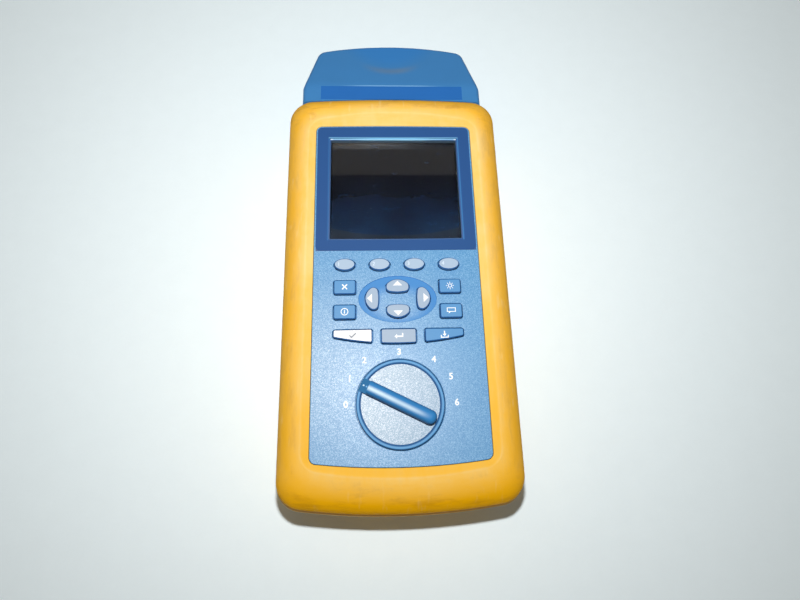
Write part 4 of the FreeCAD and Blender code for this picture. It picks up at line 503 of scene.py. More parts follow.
def case_finish(look):
    """Yellow moulding, paler towards the crest from wear and from a painted highlight on the crest strip and crest
    line, with painted light on the outer rim and the lip, dirt, pale scuffs and a fine moulded grain.
    """
    finish = Finish("moulded_yellow", {"Specular IOR Level": 0.02})
    along = finish.axis("Y")
    height = finish.axis("Z")
    near_end = finish.fade(along, NEAR_DIRT, NEAR_WEAR_AND_LIGHT)
    far_end = finish.band(along, FAR_WEAR, FAR_DIRT)
    far = finish.band(along, NEAR_WEAR_AND_LIGHT, STRIP_WEAR_AND_LIGHT)
    ends = near_end + far_end

    broad = finish.noise(look.broad_size, 3.0)
    patch = finish.noise(look.patch_size, 5.0, 0.6)
    lengthwise = finish.noise(look.streak_size, 5.0, 0.65, finish.stretched(1.6, 0.35, 1.0))
    crosswise = finish.noise(look.streak_size, 5.0, 0.65, finish.stretched(0.35, 1.6, 1.0))
    streak = lengthwise * (1.0 - ends) + crosswise * ends
    mottle = 0.58 + finish.band(broad * 0.35 + patch * 0.20 + streak * 0.45, 0.36, 0.66) * 0.64

    outward = crest_distance(finish, look)
    on_front = finish.band(height, look.lip_high, look.lip_high + FRONT_BLEND)
    inside = finish.fade(outward, -CREST_BLEND, CREST_BLEND)
    slope = (1.0 - finish.ramp(outward, 0.0, 1.0)) ** 1.3
    on_roll = slope * (look.roll_fade + far * look.far_fade + near_end * look.near_fade)
    # Paling of the strip inside the crest and of the crest line: painted highlight together with wear
    on_strip = look.strip_fade + far * look.far_strip
    on_line = finish.fade(abs(outward), 0.0, CREST_BLEND * 2.0) * look.line_fade
    # Paling of the outer rim: painted light on the shaded side of the rolled edge
    on_rim = finish.band(outward, 0.55, 1.0) * on_front * (1.0 - near_end) * look.rim_fade
    paling = on_roll * (1.0 - inside) + on_strip * inside + on_line + on_rim
    paled = finish.mix(paling * mottle * look.wear, look.yellow, look.faded)

    rolled = finish.band(outward, 0.0, 0.25)
    low = finish.band(outward, 0.2, 0.9)
    smudged = rolled * (look.roll_dirt + far_end * look.far_dirt) + low * near_end * look.near_dirt
    spots = finish.band(streak * 0.8 + patch * 0.2, 0.46, 0.68)
    dirt = spots * (look.thin_dirt + on_front * smudged) * look.dirt
    scuff = finish.noise(look.scuff_size, 2.0, 0.5, finish.stretched(1.0, 0.2, 0.2))
    scuffed = finish.band(scuff, 0.62, 0.76) * rolled * on_front * (1.0 - near_end * 0.5)
    soiled = finish.mix(dirt, paled, look.grime)
    soiled = finish.mix(scuffed * look.scuffs, soiled, look.faded)

    # Paler lip: wear, and painted light where the lip lies in the case's shadow, most at the near end
    under = finish.band(height, look.lip_low - LIP_BLEND, look.lip_low)
    over = finish.fade(height, look.lip_high, look.lip_high + LIP_BLEND)
    on_lip = under * over * (look.lip_fade + near_end * look.near_lip)
    finish.set("Base Color", finish.mix(on_lip, soiled, look.lip))
    finish.set("Roughness", 0.46 + patch * 0.2)
    finish.bump(finish.noise(0.0006, 2.0) * 0.6 + patch * 0.4, COARSE_GRAIN)
    return finish.material


def flaked(name, base, flake_colour, look):
    """Starts a paint full of bright metal flakes. Gives the finish, its colour and its roughness."""
    finish = Finish(name, {"Specular IOR Level": 0.6})
    flake = finish.flakes(look.flake_size)
    fine = finish.noise(look.flake_size * 1.6, 2.0, 0.7)
    bright = finish.band(flake * 0.6 + fine * 0.4, 0.40, 0.85)
    finish.bump(fine, FINE_GRAIN)
    return finish, finish.mix(bright * 0.6, base, flake_colour), 0.48 - bright * 0.10


def face_paint(look, panel_look):
    """Flake paint of the dial face."""
    finish, painted, roughness = flaked("dial_face_paint", look.face, look.face_flake, panel_look)
    finish.set("Base Color", painted)
    finish.set("Roughness", roughness)
    return finish.material


def screen_opening(finish, look):
    """Distances outwards from the opening round the screen: beside it, beyond it and before it."""
    low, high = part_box("display_window")
    beside = past(finish.axis("X"), low.x, high.x) + look.opening_inset
    beyond = finish.axis("Y") - high.y + look.opening_inset
    before = low.y + look.opening_inset - finish.axis("Y")
    return beside, beyond, before


def panel_paint(look):
    """Flake paint with the oval dish, the ground of the overlay and painted light and shade on the screen opening:
    shade on its sides and walls, a highlight and glints on its far edge.
    """
    finish, painted, roughness = flaked("panel_paint", look.panel, look.flake, look)
    across = finish.axis("X")
    along = finish.axis("Y")
    middle = (top_of("arrow_left") + top_of("arrow_right")) / 2
    aside = (across - middle.x) / (look.dish_width / 2)
    ahead = (along - middle.y) / (look.dish_length / 2)
    dish = finish.band(reach(aside, ahead + look.dish_shift), 0.35, 0.95)
    dish = dish * finish.fade(reach(aside, ahead), 1.0, 1.01)
    painted = finish.mix(dish, painted, look.dish_blue)

    low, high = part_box("display_overlay")
    outside = past(across, low.x, high.x).largest(low.y - along)
    under_film = finish.fade(outside, -EDGE_BLEND, 0.0) * finish.fade(along, low.y, high.y)
    painted = finish.mix(under_film, painted, look.overlay)

    # Painted shade on the sides and walls of the screen opening, painted highlight and glints on its far edge
    beside, beyond, before = screen_opening(finish, look)
    in_opening = finish.fade(beside.largest(beyond).largest(before), 0.0, EDGE_BLEND)
    on_far = finish.band(beyond, -look.edge_width - EDGE_BLEND, -look.edge_width)
    in_corner = finish.band(beside, -look.glint_length, -look.edge_width)
    edge = finish.mix(on_far, look.edge, finish.mix(in_corner, look.far_edge, look.glint))
    panel_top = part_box("front_panel")[1].z
    on_top = finish.band(finish.axis("Z"), panel_top - WALL_DROP, panel_top - WALL_START)
    edge = finish.mix(on_top, look.wall, edge)
    finish.set("Base Color", finish.mix(in_opening, painted, edge))
    finish.set("Roughness", roughness * (1.0 - dish) + dish * 0.70)
    return finish.material


def bevel(finish, outward, width):
    """1 at the inner edge of a bevel, falling to 0 at its outer edge, and 0 in the opening."""
    return finish.band(outward, -EDGE_BLEND, 0.0) * (1.0 - finish.ramp(outward, 0.0, width))


def overlay_film(look):
    """Dark blue film with a painted highlight on the bevel of its opening beyond and beside the screen, stronger
    on the right.
    """
    finish = Finish("overlay_film", {"Specular IOR Level": 0.12})
    plain, _, fine = finish.grained(look.overlay, CLOUD_SIZE, 0.0004, 0.94, 1.06)
    low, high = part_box("display_window")
    rightward = finish.band(finish.axis("X"), low.x, high.x)
    beside, beyond, before = screen_opening(finish, look)
    # Painted highlight on the bevel: pale beyond the screen, bluer beside it and stronger to the right
    far_bevel_highlight = bevel(finish, beyond, look.bevel_width) * finish.fade(beside, 0.0, look.bevel_width)
    side_bevel_highlight = bevel(finish, beside, look.bevel_width) * (0.5 + rightward * 0.5)
    side_bevel_highlight = side_bevel_highlight * finish.fade(beyond.largest(before), 0.0, EDGE_BLEND)
    highlighted = finish.mix(far_bevel_highlight, plain, look.far_edge)
    finish.set("Base Color", finish.mix(side_bevel_highlight, highlighted, look.side_edge))
    finish.set("Roughness", 0.54 + fine * 0.12)
    finish.bump(fine, FILM_GRAIN)
    return finish.material


def plain_plastic(name, base, roughness, depth=FINE_GRAIN, tint=0.12, gloss=0.5):
    """Moulded plastic or rubber with a fine grain and slightly uneven colour."""
    finish = Finish(name, {"Specular IOR Level": gloss})
    coloured, _, fine = finish.grained(base, CLOUD_SIZE, GRAIN_SIZE, 1.0 - tint, 1.0 + tint)
    finish.set("Base Color", coloured)
    finish.set("Roughness", roughness - 0.06 + fine * 0.12)
    finish.bump(fine, depth)
    return finish.material


def print_ink(name, base, gloss=0.5):
    """Nearly even ink of a printed mark."""
    return plain_plastic(name, base, 0.5, tint=0.04, gloss=gloss)


def floor_paint(look):
    """Pale table top that fades out towards its edge."""
    finish = Finish("floor_paint", {"Specular IOR Level": 0.5})
    coloured, _, fine = finish.grained(look.floor_colour, CLOUD_SIZE, 0.002, 0.97, 1.03)
    finish.set("Base Color", coloured)
    finish.set("Roughness", 0.54 + fine * 0.12)
    outward = reach(finish.axis("X"), finish.axis("Y"))
    finish.set("Alpha", finish.fade(outward, look.floor_size * FLOOR_KEPT, look.floor_size / 2))
    return finish.material


def key_rubber(name, base, look):
    """Moulded key with a coloured top and painted shade: dark on its rounded edges, paler on its lower sides."""
    finish = Finish(name, {"Specular IOR Level": 0.3})
    top = top_of(SOFT_KEYS[0]).z
    coloured, _, fine = finish.grained(base, 0.008, GRAIN_SIZE, 0.92, 1.0)
    height = finish.axis("Z")
    # Painted shade below the top of the key, for the shadowed gap round it
    upper = finish.band(height, top - look.skirt_drop * 2.0, top - look.skirt_drop * 0.5)
    lower = finish.fade(height, top - look.side_drop * 1.3, top - look.side_drop * 0.7)
    edge = finish.mix(lower, look.skirt, look.side)
    finish.set("Base Color", finish.mix(upper, edge, coloured))
    finish.set("Roughness", 0.5 + fine * 0.1)
    finish.bump(fine, FINE_GRAIN)
    return finish.material


def knob_plastic(look):
    """Blue moulding with painted shade at the edges of its rim and a finger bar with a painted highlight along its
    ridge.
    """
    finish = Finish("knob_plastic", {"Specular IOR Level": 0.15})
    fine = finish.noise(GRAIN_SIZE, 2.0, 0.6)
    uneven = finish.noise(0.010, 3.0)
    ahead = Matrix.Rotation(look.pointer, 4, "Z") @ Vector((1.0, 0.0, 0.0))
    across = finish.axis("X") - DIAL.x
    along = finish.axis("Y") - DIAL.y
    forward = across * ahead.x + along * ahead.y
    aside = along * ahead.x - across * ahead.y

    low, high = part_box("dial_knob")
    face_low, face_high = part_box("dial_face")
    rim_inner = (face_high.x - face_low.x) / 2
    rim_outer = (high.x - low.x) / 2
    # Painted shade at the inner and outer edges of the rim
    off_rim = abs((reach(across, along) - rim_inner) / (rim_outer - rim_inner) - look.band_place)
    groove = finish.band(off_rim, look.band_width * 0.5, look.band_width) * 0.85
    rim = finish.mix(groove, look.knob, look.groove)

    raised = finish.band(finish.axis("Z"), high.z - RIDGE_DEPTH, high.z)
    on_step = finish.band(forward, look.step_reach, look.step_reach + RIM_BLEND)
    on_step = on_step * finish.fade(abs(aside), look.bar_width - RIM_BLEND, look.bar_width)
    in_bar = (raised + on_step).smallest(1.0)
    darker = tuple(channel * 0.88 for channel in look.bar)
    plain = finish.mix(in_bar, rim, finish.mix(fine, darker, look.bar))
    plain = finish.mix(on_step * (1.0 - raised), plain, look.step)

    # Painted highlight along the top of the bar, fading towards its tail
    off_highlight = abs(aside + look.ridge_shift) / look.ridge_width
    tail = finish.fade(forward * -1.0, look.ridge_end * 0.5, look.ridge_end)
    paled = finish.ramp(forward, -look.ridge_end, look.ridge_end) * 0.4 + uneven * 0.4 + 0.4
    rubbed = finish.fade(off_highlight, 0.0, 1.0) * raised * tail * paled.smallest(1.0)
    finish.set("Base Color", finish.mix(rubbed, plain, look.ridge))
    finish.set("Roughness", 0.48 + fine * 0.1 + on_step * 0.25)
    finish.bump(fine, FINE_GRAIN)
    return finish.material


def glass_clear():
    """Clear acrylic with faint smears."""
    finish = Finish("clear_acrylic", {"Transmission Weight": 1.0, "IOR": 1.49})
    finish.set("Base Color", finish.mix(finish.noise(0.03), (0.94, 0.96, 0.98), (0.99, 0.99, 1.0)))
    finish.set("Roughness", finish.noise(0.02, 4.0) * 0.012)
    return finish.material


def adapter_plastic(look):
    """Blue moulding with a painted highlight along its crease and painted shade at the near rim of the thumb
    scoop.
    """
    finish = Finish("adapter_plastic", {"Specular IOR Level": 0.35})
    plain, uneven, fine = finish.grained(look.shell, 0.014, 0.0008, 0.88, 1.0)
    case_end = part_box("front_case")[1].y
    across = finish.axis("X")
    along = finish.axis("Y")
    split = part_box("adapter_bottom_shell")[1].z
    upper = finish.band(finish.axis("Z"), split, split + FRONT_BLEND)

    # Painted highlight along the crease
    off_crease = abs(along - (case_end + look.crease)) / look.crease_width
    crease = finish.fade(off_crease, 0.0, 1.0) * finish.fade(abs(across), *CREASE_FADE) * upper
    rubbed = finish.mix(crease * 0.85, plain, look.rubbed)

    middle = case_end + look.scoop_start + look.scoop_radius
    off_middle = reach(across, along - middle)
    in_scoop = finish.fade(off_middle, look.scoop_radius * 0.6, look.scoop_radius) * upper
    rubbed = finish.mix(in_scoop * 0.8, rubbed, look.scoop)
    # Painted shade at the near rim of the thumb scoop
    off_rim = abs(off_middle - look.scoop_radius + look.rim_inset) / look.rim_width
    rim = finish.fade(off_rim, 0.0, 1.0) * finish.fade(abs(across), *RIM_SHADE_FADE)
    rim = rim * upper * (0.20 + uneven * 0.34)
    finish.set("Base Color", finish.mix(rim, rubbed, look.grub))
    finish.set("Roughness", 0.46 + fine * 0.12)
    finish.bump(fine, COARSE_GRAIN)
    return finish.material


def display_finish(look):
    """Dark liquid crystal display under a smeared, slightly scratched surface, with a painted greyish reflection
    in an arc along its near side.
    """
    finish = Finish("dark_display", {"Specular IOR Level": 0.5})
    low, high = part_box("display_window")
    along = finish.axis("Y")
    near = finish.fade(along, low.y, high.y - (high.y - low.y) / 3)
    cloud = finish.band(finish.noise(0.030, 4.0, 0.55), 0.20, 0.80)
    smear = finish.band(finish.noise(0.010, 5.0, 0.7, finish.stretched(0.7, 1.5, 1.0)), 0.56, 0.80)
    scratch = finish.band(finish.noise(0.004, 2.0, 0.5, finish.stretched(0.25, 2.6, 1.0)), 0.72, 0.78)
    haze = (0.02 + near * 0.70) * (0.30 + cloud * 0.55) + smear * 0.50 + scratch * 0.30
    hazy = finish.mix(haze, look.display, look.haze)
    # Painted reflection: a greyish arc along the near side of the display
    aside = (finish.axis("X") - (low.x + high.x) / 2) / ((high.x - low.x) / 2)
    reflection_edge = low.y + look.opening_inset + look.film_low + aside * aside * look.film_rise
    on_reflection = finish.fade(along - reflection_edge, -REFLECTION_BLEND, REFLECTION_BLEND) * (0.45 + smear * 0.3)
    finish.set("Base Color", finish.mix(on_reflection, hazy, look.film))
    finish.set("Roughness", 0.12 + cloud * 0.1)
    return finish.material


def metal(name, base, roughness, stretch=(1.0, 1.0, 1.0)):
    """Sheet or turned metal, brushed along one axis where its grain is stretched."""
    finish = Finish(name, {"Metallic": 1.0})
    grain = finish.noise(0.0008, 3.0, 0.6, finish.stretched(*stretch))
    darker = tuple(channel * 0.8 for channel in base)
    finish.set("Base Color", finish.mix(grain, darker, base))
    finish.set("Roughness", roughness - 0.08 + grain * 0.16)
    finish.bump(grain, METAL_GRAIN)
    return finish.material


def board_finish():
    """Green circuit board with lighter tracks under the solder mask."""
    finish = Finish("solder_mask", {"Specular IOR Level": 0.5})
    bricks = finish.node(
        "ShaderNodeTexBrick", None,
        {"Vector": finish.place, "Scale": 160.0, "Mortar Size": 0.02, "Color1": (0, 0, 0, 1),
         "Color2": (0.3, 0.3, 0.3, 1), "Mortar": (1, 1, 1, 1)}, "Fac")
    tracks = finish.band(bricks, 0.2, 0.8)
    finish.set("Base Color", finish.mix(tracks, paint(14, 84, 46), paint(52, 130, 78)))
    finish.set("Roughness", 0.34 + finish.noise(0.004) * 0.12)
    finish.bump(tracks, TRACK_GRAIN)
    return finish.material


# Mesh building

def add_piece(name, mesh, body, finish):
    """New object from a mesh, riding on a body with a finish."""
    mesh.materials.clear()
    mesh.materials.append(finish)
    piece = bpy.data.objects.new(name, mesh)
    bpy.context.scene.collection.objects.link(piece)
    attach(piece, body)


def finish_nodes(finish, *nodes):
    """Gives CAD nodes one finish."""
    for node in nodes:
        slots = frame["nodes"][node].data.materials
        slots.clear()
        slots.append(finish)


def evaluated_mesh(holder):
    """Plain mesh of a new object with its modifiers applied."""
    bpy.context.scene.collection.objects.link(holder)
    bpy.context.view_layer.update()
    graph = bpy.context.evaluated_depsgraph_get()
    return bpy.data.meshes.new_from_object(holder.evaluated_get(graph))


def as_mesh(name, data):
    """Mesh of a curve or text."""
    holder = bpy.data.objects.new(name, data)
    mesh = evaluated_mesh(holder)
    bpy.data.objects.remove(holder)
    bpy.data.curves.remove(data)
    mesh.name = name
    return mesh


def flat_mesh(name, loops, height):
    """Raised print from closed outlines in millimetres; a loop inside another makes a hole."""
    data = bpy.data.curves.new(name, "CURVE")
    data.dimensions = "2D"
    data.fill_mode = "BOTH"
    data.extrude = height
    for loop in loops:
        spline = data.splines.new("POLY")
        spline.points.add(len(loop) - 1)
        for point, (x, y) in zip(spline.points, loop):
            point.co = (x * MM, y * MM, 0.0, 1.0)
        spline.use_cyclic_u = True
    return as_mesh(name, data)


def text_mesh(name, words, size, height, swell=0.0):
    """Raised print of words around the origin."""
    data = bpy.data.curves.new(name, "FONT")
    data.body = words
    data.size = size
    data.align_x = "CENTER"
    data.align_y = "CENTER"
    data.extrude = height
    data.offset = swell
    data.resolution_u = TEXT_STEPS
    return as_mesh(name, data)


def joined(name, meshes):
    """One mesh from several, each with a place of its own."""
    whole = bmesh.new()
    for mesh, place in meshes:
        mesh.transform(place)
        whole.from_mesh(mesh)
        bpy.data.meshes.remove(mesh)
    result = bpy.data.meshes.new(name)
    whole.to_mesh(result)
    whole.free()
    return result


def top_of(node):
    """Middle of the upper face of a node's box."""
    low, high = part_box(node)
    return Vector(((low.x + high.x) / 2, (low.y + high.y) / 2, high.z))


def step_height(node, spot):
    """Height of a node's upper surface over a spot in plan."""
    above = Vector((spot.x, spot.y, 1.0))
    hit, place, _, _ = frame["nodes"][node].ray_cast(above, Vector((0.0, 0.0, -1.0)))
    if not hit:
        raise RuntimeError(f"{node} has no surface under its mark")
    return place.z


def rib_tree():
    """Geometry Nodes tree: a row of round ribs along +Y, each lying along X."""
    tree = bpy.data.node_groups.new("grip_ribs", "GeometryNodeTree")
    sockets = (
        ("Count", "NodeSocketInt"), ("Pitch", "NodeSocketFloat"), ("Radius", "NodeSocketFloat"),
        ("Length", "NodeSocketFloat"), ("Rib Finish", "NodeSocketMaterial"))
    for name, kind in sockets:
        tree.interface.new_socket(name, in_out="INPUT", socket_type=kind)
    tree.interface.new_socket("Geometry", in_out="OUTPUT", socket_type="NodeSocketGeometry")
    ribs = Nodes(tree)
    count, pitch, radius, span, finish = (
        ribs.node("NodeGroupInput", output=name) for name, _ in sockets)
    first = ribs.node("ShaderNodeCombineXYZ", None, {"X": span * -0.5})
    last = ribs.node("ShaderNodeCombineXYZ", None, {"X": span * 0.5})
    line = ribs.node("GeometryNodeCurvePrimitiveLine", None, {"Start": first, "End": last})
    profile = ribs.node(
        "GeometryNodeCurvePrimitiveCircle", None, {"Resolution": RIB_SIDES, "Radius": radius})
    rib = ribs.node(
        "GeometryNodeCurveToMesh", None, {"Curve": line, "Profile Curve": profile, "Fill Caps": True})
    step = ribs.node("ShaderNodeCombineXYZ", None, {"Y": pitch})
    row = ribs.node("GeometryNodeMeshLine", None, {"Count": count, "Offset": step})
    placed = ribs.node("GeometryNodeInstanceOnPoints", None, {"Points": row, "Instance": rib})
    real = ribs.node("GeometryNodeRealizeInstances", None, {"Geometry": placed})
    painted = ribs.node("GeometryNodeSetMaterial", None, {"Geometry": real, "Material": finish})
    result = tree.nodes.new("NodeGroupOutput")
    ribs.feed(result.inputs["Geometry"], painted)
    return tree


def grown_mesh(name, tree, sizes):
    """Plain mesh of a Geometry Nodes tree with its named inputs set."""
    holder = bpy.data.objects.new(name, bpy.data.meshes.new(name))
    modifier = holder.modifiers.new(name, "NODES")
    modifier.node_group = tree
    for item in tree.interface.items_tree:
        if item.in_out == "INPUT":
            modifier[item.identifier] = sizes[item.name]
    mesh = evaluated_mesh(holder)
    holder.modifiers.remove(modifier)
    bpy.data.objects.remove(holder)
    return mesh


# Outlines of the printed marks, in millimetres

def circle(radius, count=32, y=0.0):
    """Points of a circle."""
    turns = [2.0 * math.pi * i / count for i in range(count)]
    return [(radius * math.cos(turn), y + radius * math.sin(turn)) for turn in turns]


def stroke(x0, y0, x1, y1, width):
    """Outline of a straight stroke with square ends."""
    run = Vector((x1 - x0, y1 - y0)).normalized() * width / 2
    side = Vector((-run.y, run.x))
    return [
        (x0 + side.x, y0 + side.y), (x0 - side.x, y0 - side.y),
        (x1 - side.x, y1 - side.y), (x1 + side.x, y1 + side.y)]


def turned(points, degrees):
    """Points turned about the origin."""
    turn = math.radians(degrees)
    cosine, sine = math.cos(turn), math.sin(turn)
    return [(x * cosine - y * sine, x * sine + y * cosine) for x, y in points]


def sun_mark():
    """Ring with eight rays."""
    rays = [turned(stroke(1.45, 0.0, 2.15, 0.0, 0.32), 45.0 * i) for i in range(8)]
    return [circle(1.12), circle(0.74)] + rays


def cross_mark():
    """Diagonal cross."""
    arm, half = 1.9, 0.32
    plus = [
        (half, half), (half, arm), (-half, arm), (-half, half), (-arm, half), (-arm, -half),
        (-half, -half), (-half, -arm), (half, -arm), (half, -half), (arm, -half), (arm, half)]
    return [turned(plus, 45.0)]


def info_mark():
    """Ring with a dotted stem."""
    return [
        circle(2.0), circle(1.6), circle(0.28, count=16, y=0.8), stroke(0.0, 0.35, 0.0, -1.05, 0.5)]


def speech_mark():
    """Speech bubble with a tail."""
    outer = [(-2.4, 1.5), (2.4, 1.5), (2.4, -0.9), (-0.4, -0.9), (-1.5, -1.9), (-1.4, -0.9), (-2.4, -0.9)]
    inner = [(-2.0, 1.1), (2.0, 1.1), (2.0, -0.5), (-2.0, -0.5)]
    return [outer, inner]


def tick_mark():
    """Tick."""
    return [[(-1.9, 0.1), (-1.4, 0.6), (-0.6, -0.3), (1.5, 1.7), (2.0, 1.2), (-0.6, -1.4)]]


def return_mark():
    """Arrow that bends back to the left."""
    return [[
        (-2.3, -0.3), (-0.9, 0.9), (-0.9, 0.05), (1.7, 0.05), (1.7, 1.4), (2.35, 1.4),
        (2.35, -0.65), (-0.9, -0.65), (-0.9, -1.5)]]


def tray_mark():
    """Arrow down into a tray."""
    arrow = [
        (-0.3, 1.9), (0.3, 1.9), (0.3, 0.3), (1.1, 0.3), (0.0, -0.9), (-1.1, 0.3), (-0.3, 0.3)]
    tray = [
        (-2.1, -0.3), (-1.6, -0.3), (-1.6, -1.3), (1.6, -1.3), (1.6, -0.3), (2.1, -0.3),
        (2.1, -1.8), (-2.1, -1.8)]
    return [arrow, tray]


def arrow_mark():
    """Triangle that points to +Y from its base on the origin."""
    return [[(-2.5, 0.0), (2.5, 0.0), (0.0, 2.6)]]


KEY_MARKS = {
    "key_light": (sun_mark, 0.0),
    "key_exit": (cross_mark, 0.0),
    "key_fault": (info_mark, 0.0),
    "key_talk": (speech_mark, 0.0),
    "key_test": (tick_mark, 0.0),
    "key_enter": (return_mark, 0.0),
    "key_save": (tray_mark, 0.0),
    "arrow_up": (arrow_mark, 0.0),
    "arrow_left": (arrow_mark, 90.0),
    "arrow_down": (arrow_mark, 180.0),
    "arrow_right": (arrow_mark, 270.0),
}
SOFT_KEYS = ("softkey_1", "softkey_2", "softkey_3", "softkey_4")
GREY_KEYS = ("arrow_up", "arrow_down", "arrow_left", "arrow_right", "key_enter")
BLUE_KEYS = ("key_exit", "key_fault", "key_light", "key_talk", "key_save")

# Numbers round the dial: direction from +X in degrees, distance in millimetres
DIAL_NUMBERS = (
    ("0", 180.0, 27.8), ("1", 153.0, 29.0), ("2", 129.0, 29.0), ("3", 90.0, 26.6),
    ("4", 51.0, 28.8), ("5", 26.5, 29.8), ("6", 0.0, 29.0))


# Stage building

def add_light(name, place, size, power):
    """Round lamp that points at the far end of the part."""
    light = bpy.data.lights.new(name, "AREA")
    light.shape = "DISK"
    light.size = size
    light.energy = power
    even_reach(light)
    lamp = bpy.data.objects.new(name, light)
    lamp.location = place
    lamp.rotation_euler = (LIGHT_TARGET - place).to_track_quat("-Z", "Y").to_euler()
    bpy.context.scene.collection.objects.link(lamp)
    return lamp


def even_reach(light):
    """Makes a light as strong far away as it is close by."""
    light.use_nodes = True
    tree = light.node_tree
    falloff = tree.nodes.new("ShaderNodeLightFalloff")
    falloff.inputs["Strength"].default_value = 1.0
    tree.links.new(falloff.outputs["Constant"], tree.nodes["Emission"].inputs["Strength"])


def sky(tree):
    """Soft white surroundings with a dark patch overhead, as under a camera in a white tent."""
    around = Nodes(tree)
    where = around.node("ShaderNodeTexCoord", output="Generated")
    x, y, z = (around.node("ShaderNodeSeparateXYZ", None, {"Vector": where}, name) for name in "XYZ")
    slope = (abs(x) * PATCH_NARROW).largest(abs(y)) / z.largest(HORIZON)
    off_patch = around.band(slope, PATCH_EDGE - PATCH_BLEND, PATCH_EDGE + PATCH_BLEND)
    shade = around.mix(off_patch, PATCH_COLOUR, TENT_COLOUR)
    tent = around.node("ShaderNodeBackground", None, {"Color": shade, "Strength": TENT_STRENGTH})
    backdrop = around.node("ShaderNodeBackground", None, {"Color": paint(*BACKDROP)})
    seen = around.node("ShaderNodeLightPath", output="Is Camera Ray")
    choice = around.node("ShaderNodeMixShader", None, {"Fac": seen, 1: tent, 2: backdrop})
    output = tree.nodes.new("ShaderNodeOutputWorld")
    around.feed(output.inputs["Surface"], choice)


# Operators

class ANALYZER_OT_case(bpy.types.Operator):
    """Finishes both case halves, their seal and their screws"""
    bl_idname = "analyzer.case"
    bl_label = "Finish the Case"

    def execute(self, context):
        yellow = case_finish(context.scene.analyzer_case)
        finish_nodes(yellow, "front_case", "rear_case", "battery_cover")
        finish_nodes(plain_plastic("seal_rubber", paint(40, 42, 46), 0.6), "case_seal")
        steel = metal("screw_steel", (0.62, 0.62, 0.60), 0.34)
        finish_nodes(steel, "case_screws", "board_screws", "adapter_screws", "dial_shaft")
        return {"FINISHED"}


class ANALYZER_OT_panel(bpy.types.Operator):
    """Finishes the front panel, its overlay, the window and the display"""
    bl_idname = "analyzer.panel"
    bl_label = "Finish the Panel"

    def execute(self, context):
        look = context.scene.analyzer_panel
        finish_nodes(panel_paint(look), "front_panel")
        finish_nodes(overlay_film(look), "display_overlay")
        finish_nodes(glass_clear(), "display_window")
        finish_nodes(display_finish(look), "lcd_glass")
        return {"FINISHED"}


class ANALYZER_OT_keys(bpy.types.Operator):
    """Finishes the keys and prints a mark on each of them"""
    bl_idname = "analyzer.keys"
    bl_label = "Finish the Keys"

    def execute(self, context):
        look = context.scene.analyzer_keys
        finish_nodes(key_rubber("key_rubber_oval", look.grey, look), *SOFT_KEYS)
        finish_nodes(key_rubber("key_rubber_grey", look.deep_grey, look), *GREY_KEYS)
        finish_nodes(key_rubber("key_rubber_blue", look.blue, look), *BLUE_KEYS)
        finish_nodes(key_rubber("key_rubber_white", look.white, look), "key_test")
        white = print_ink("key_print", look.mark)
        grey = plain_plastic("key_print_grey", look.mark_grey, 0.5)
        pale = print_ink("key_print_pale", look.digit)
        for key, (outline, degrees) in KEY_MARKS.items():
            mesh = flat_mesh(f"{key}_mark", outline(), look.print_height)
            spin = Matrix.Rotation(math.radians(degrees), 4, "Z")
            mesh.transform(Matrix.Translation(top_of(key)) @ spin)
            add_piece(
                f"{key}_mark", mesh, BODY_OF[key], grey if key == "key_test" else white)
        for number, key in enumerate(SOFT_KEYS, start=1):
            mesh = text_mesh(f"{key}_mark", str(number), look.digit_size, look.print_height)
            mesh.transform(Matrix.Translation(top_of(key) - Vector((look.digit_shift, 0.0, 0.0))))
            add_piece(f"{key}_mark", mesh, BODY_OF[key], pale)
        return {"FINISHED"}


class ANALYZER_OT_dial(bpy.types.Operator):
    """Finishes the dial, marks its pointer and prints the numbers round it"""
    bl_idname = "analyzer.dial"
    bl_label = "Finish the Dial"

    def execute(self, context):
        look = context.scene.analyzer_dial
        print_height = context.scene.analyzer_keys.print_height
        white = print_ink("dial_print", context.scene.analyzer_keys.mark)
        finish_nodes(knob_plastic(look), "dial_knob")
        finish_nodes(face_paint(look, context.scene.analyzer_panel), "dial_face")
        pointer = Matrix.Rotation(look.pointer, 4, "Z")
        inner = print_ink("inner_dot_print", look.dot_blue, gloss=0.2)
        outer = print_ink("outer_dot_print", look.dot_white, gloss=0.2)
        marks = (("pointer_inner", look.inner_reach, inner), ("pointer_outer", look.outer_reach, outer))
        for name, reach, finish in marks:
            mesh = flat_mesh(name, [circle(look.dot_radius / MM, count=24)], print_height)
            spot = DIAL + pointer @ Vector((reach, 0.0, 0.0))
            step_top = step_height("dial_knob", spot)
            mesh.transform(Matrix.Translation((spot.x, spot.y, step_top)))
            add_piece(name, mesh, "dial", finish)
        panel_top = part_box("front_panel")[1].z
        numbers = []
        for word, degrees, distance in DIAL_NUMBERS:
            turn = math.radians(degrees)
            x = DIAL.x + distance * MM * math.cos(turn)
            y = DIAL.y + distance * MM * math.sin(turn)
            digit = text_mesh("dial_number", word, look.number_size, print_height, NUMBER_SWELL)
            numbers.append((digit, Matrix.Translation((x, y, panel_top))))
        add_piece("dial_numbers", joined("dial_numbers", numbers), "case", white)
        return {"FINISHED"}


class ANALYZER_OT_adapter(bpy.types.Operator):
    """Finishes the link adapter"""
    bl_idname = "analyzer.adapter"
    bl_label = "Finish the Adapter"

    def execute(self, context):
        look = context.scene.analyzer_adapter
        finish_nodes(adapter_plastic(look), "adapter_top_shell", "adapter_bottom_shell")
        film = plain_plastic("label_film", look.label, 0.5, FILM_GRAIN, tint=0.06, gloss=0.3)
        finish_nodes(film, "adapter_label")
        return {"FINISHED"}


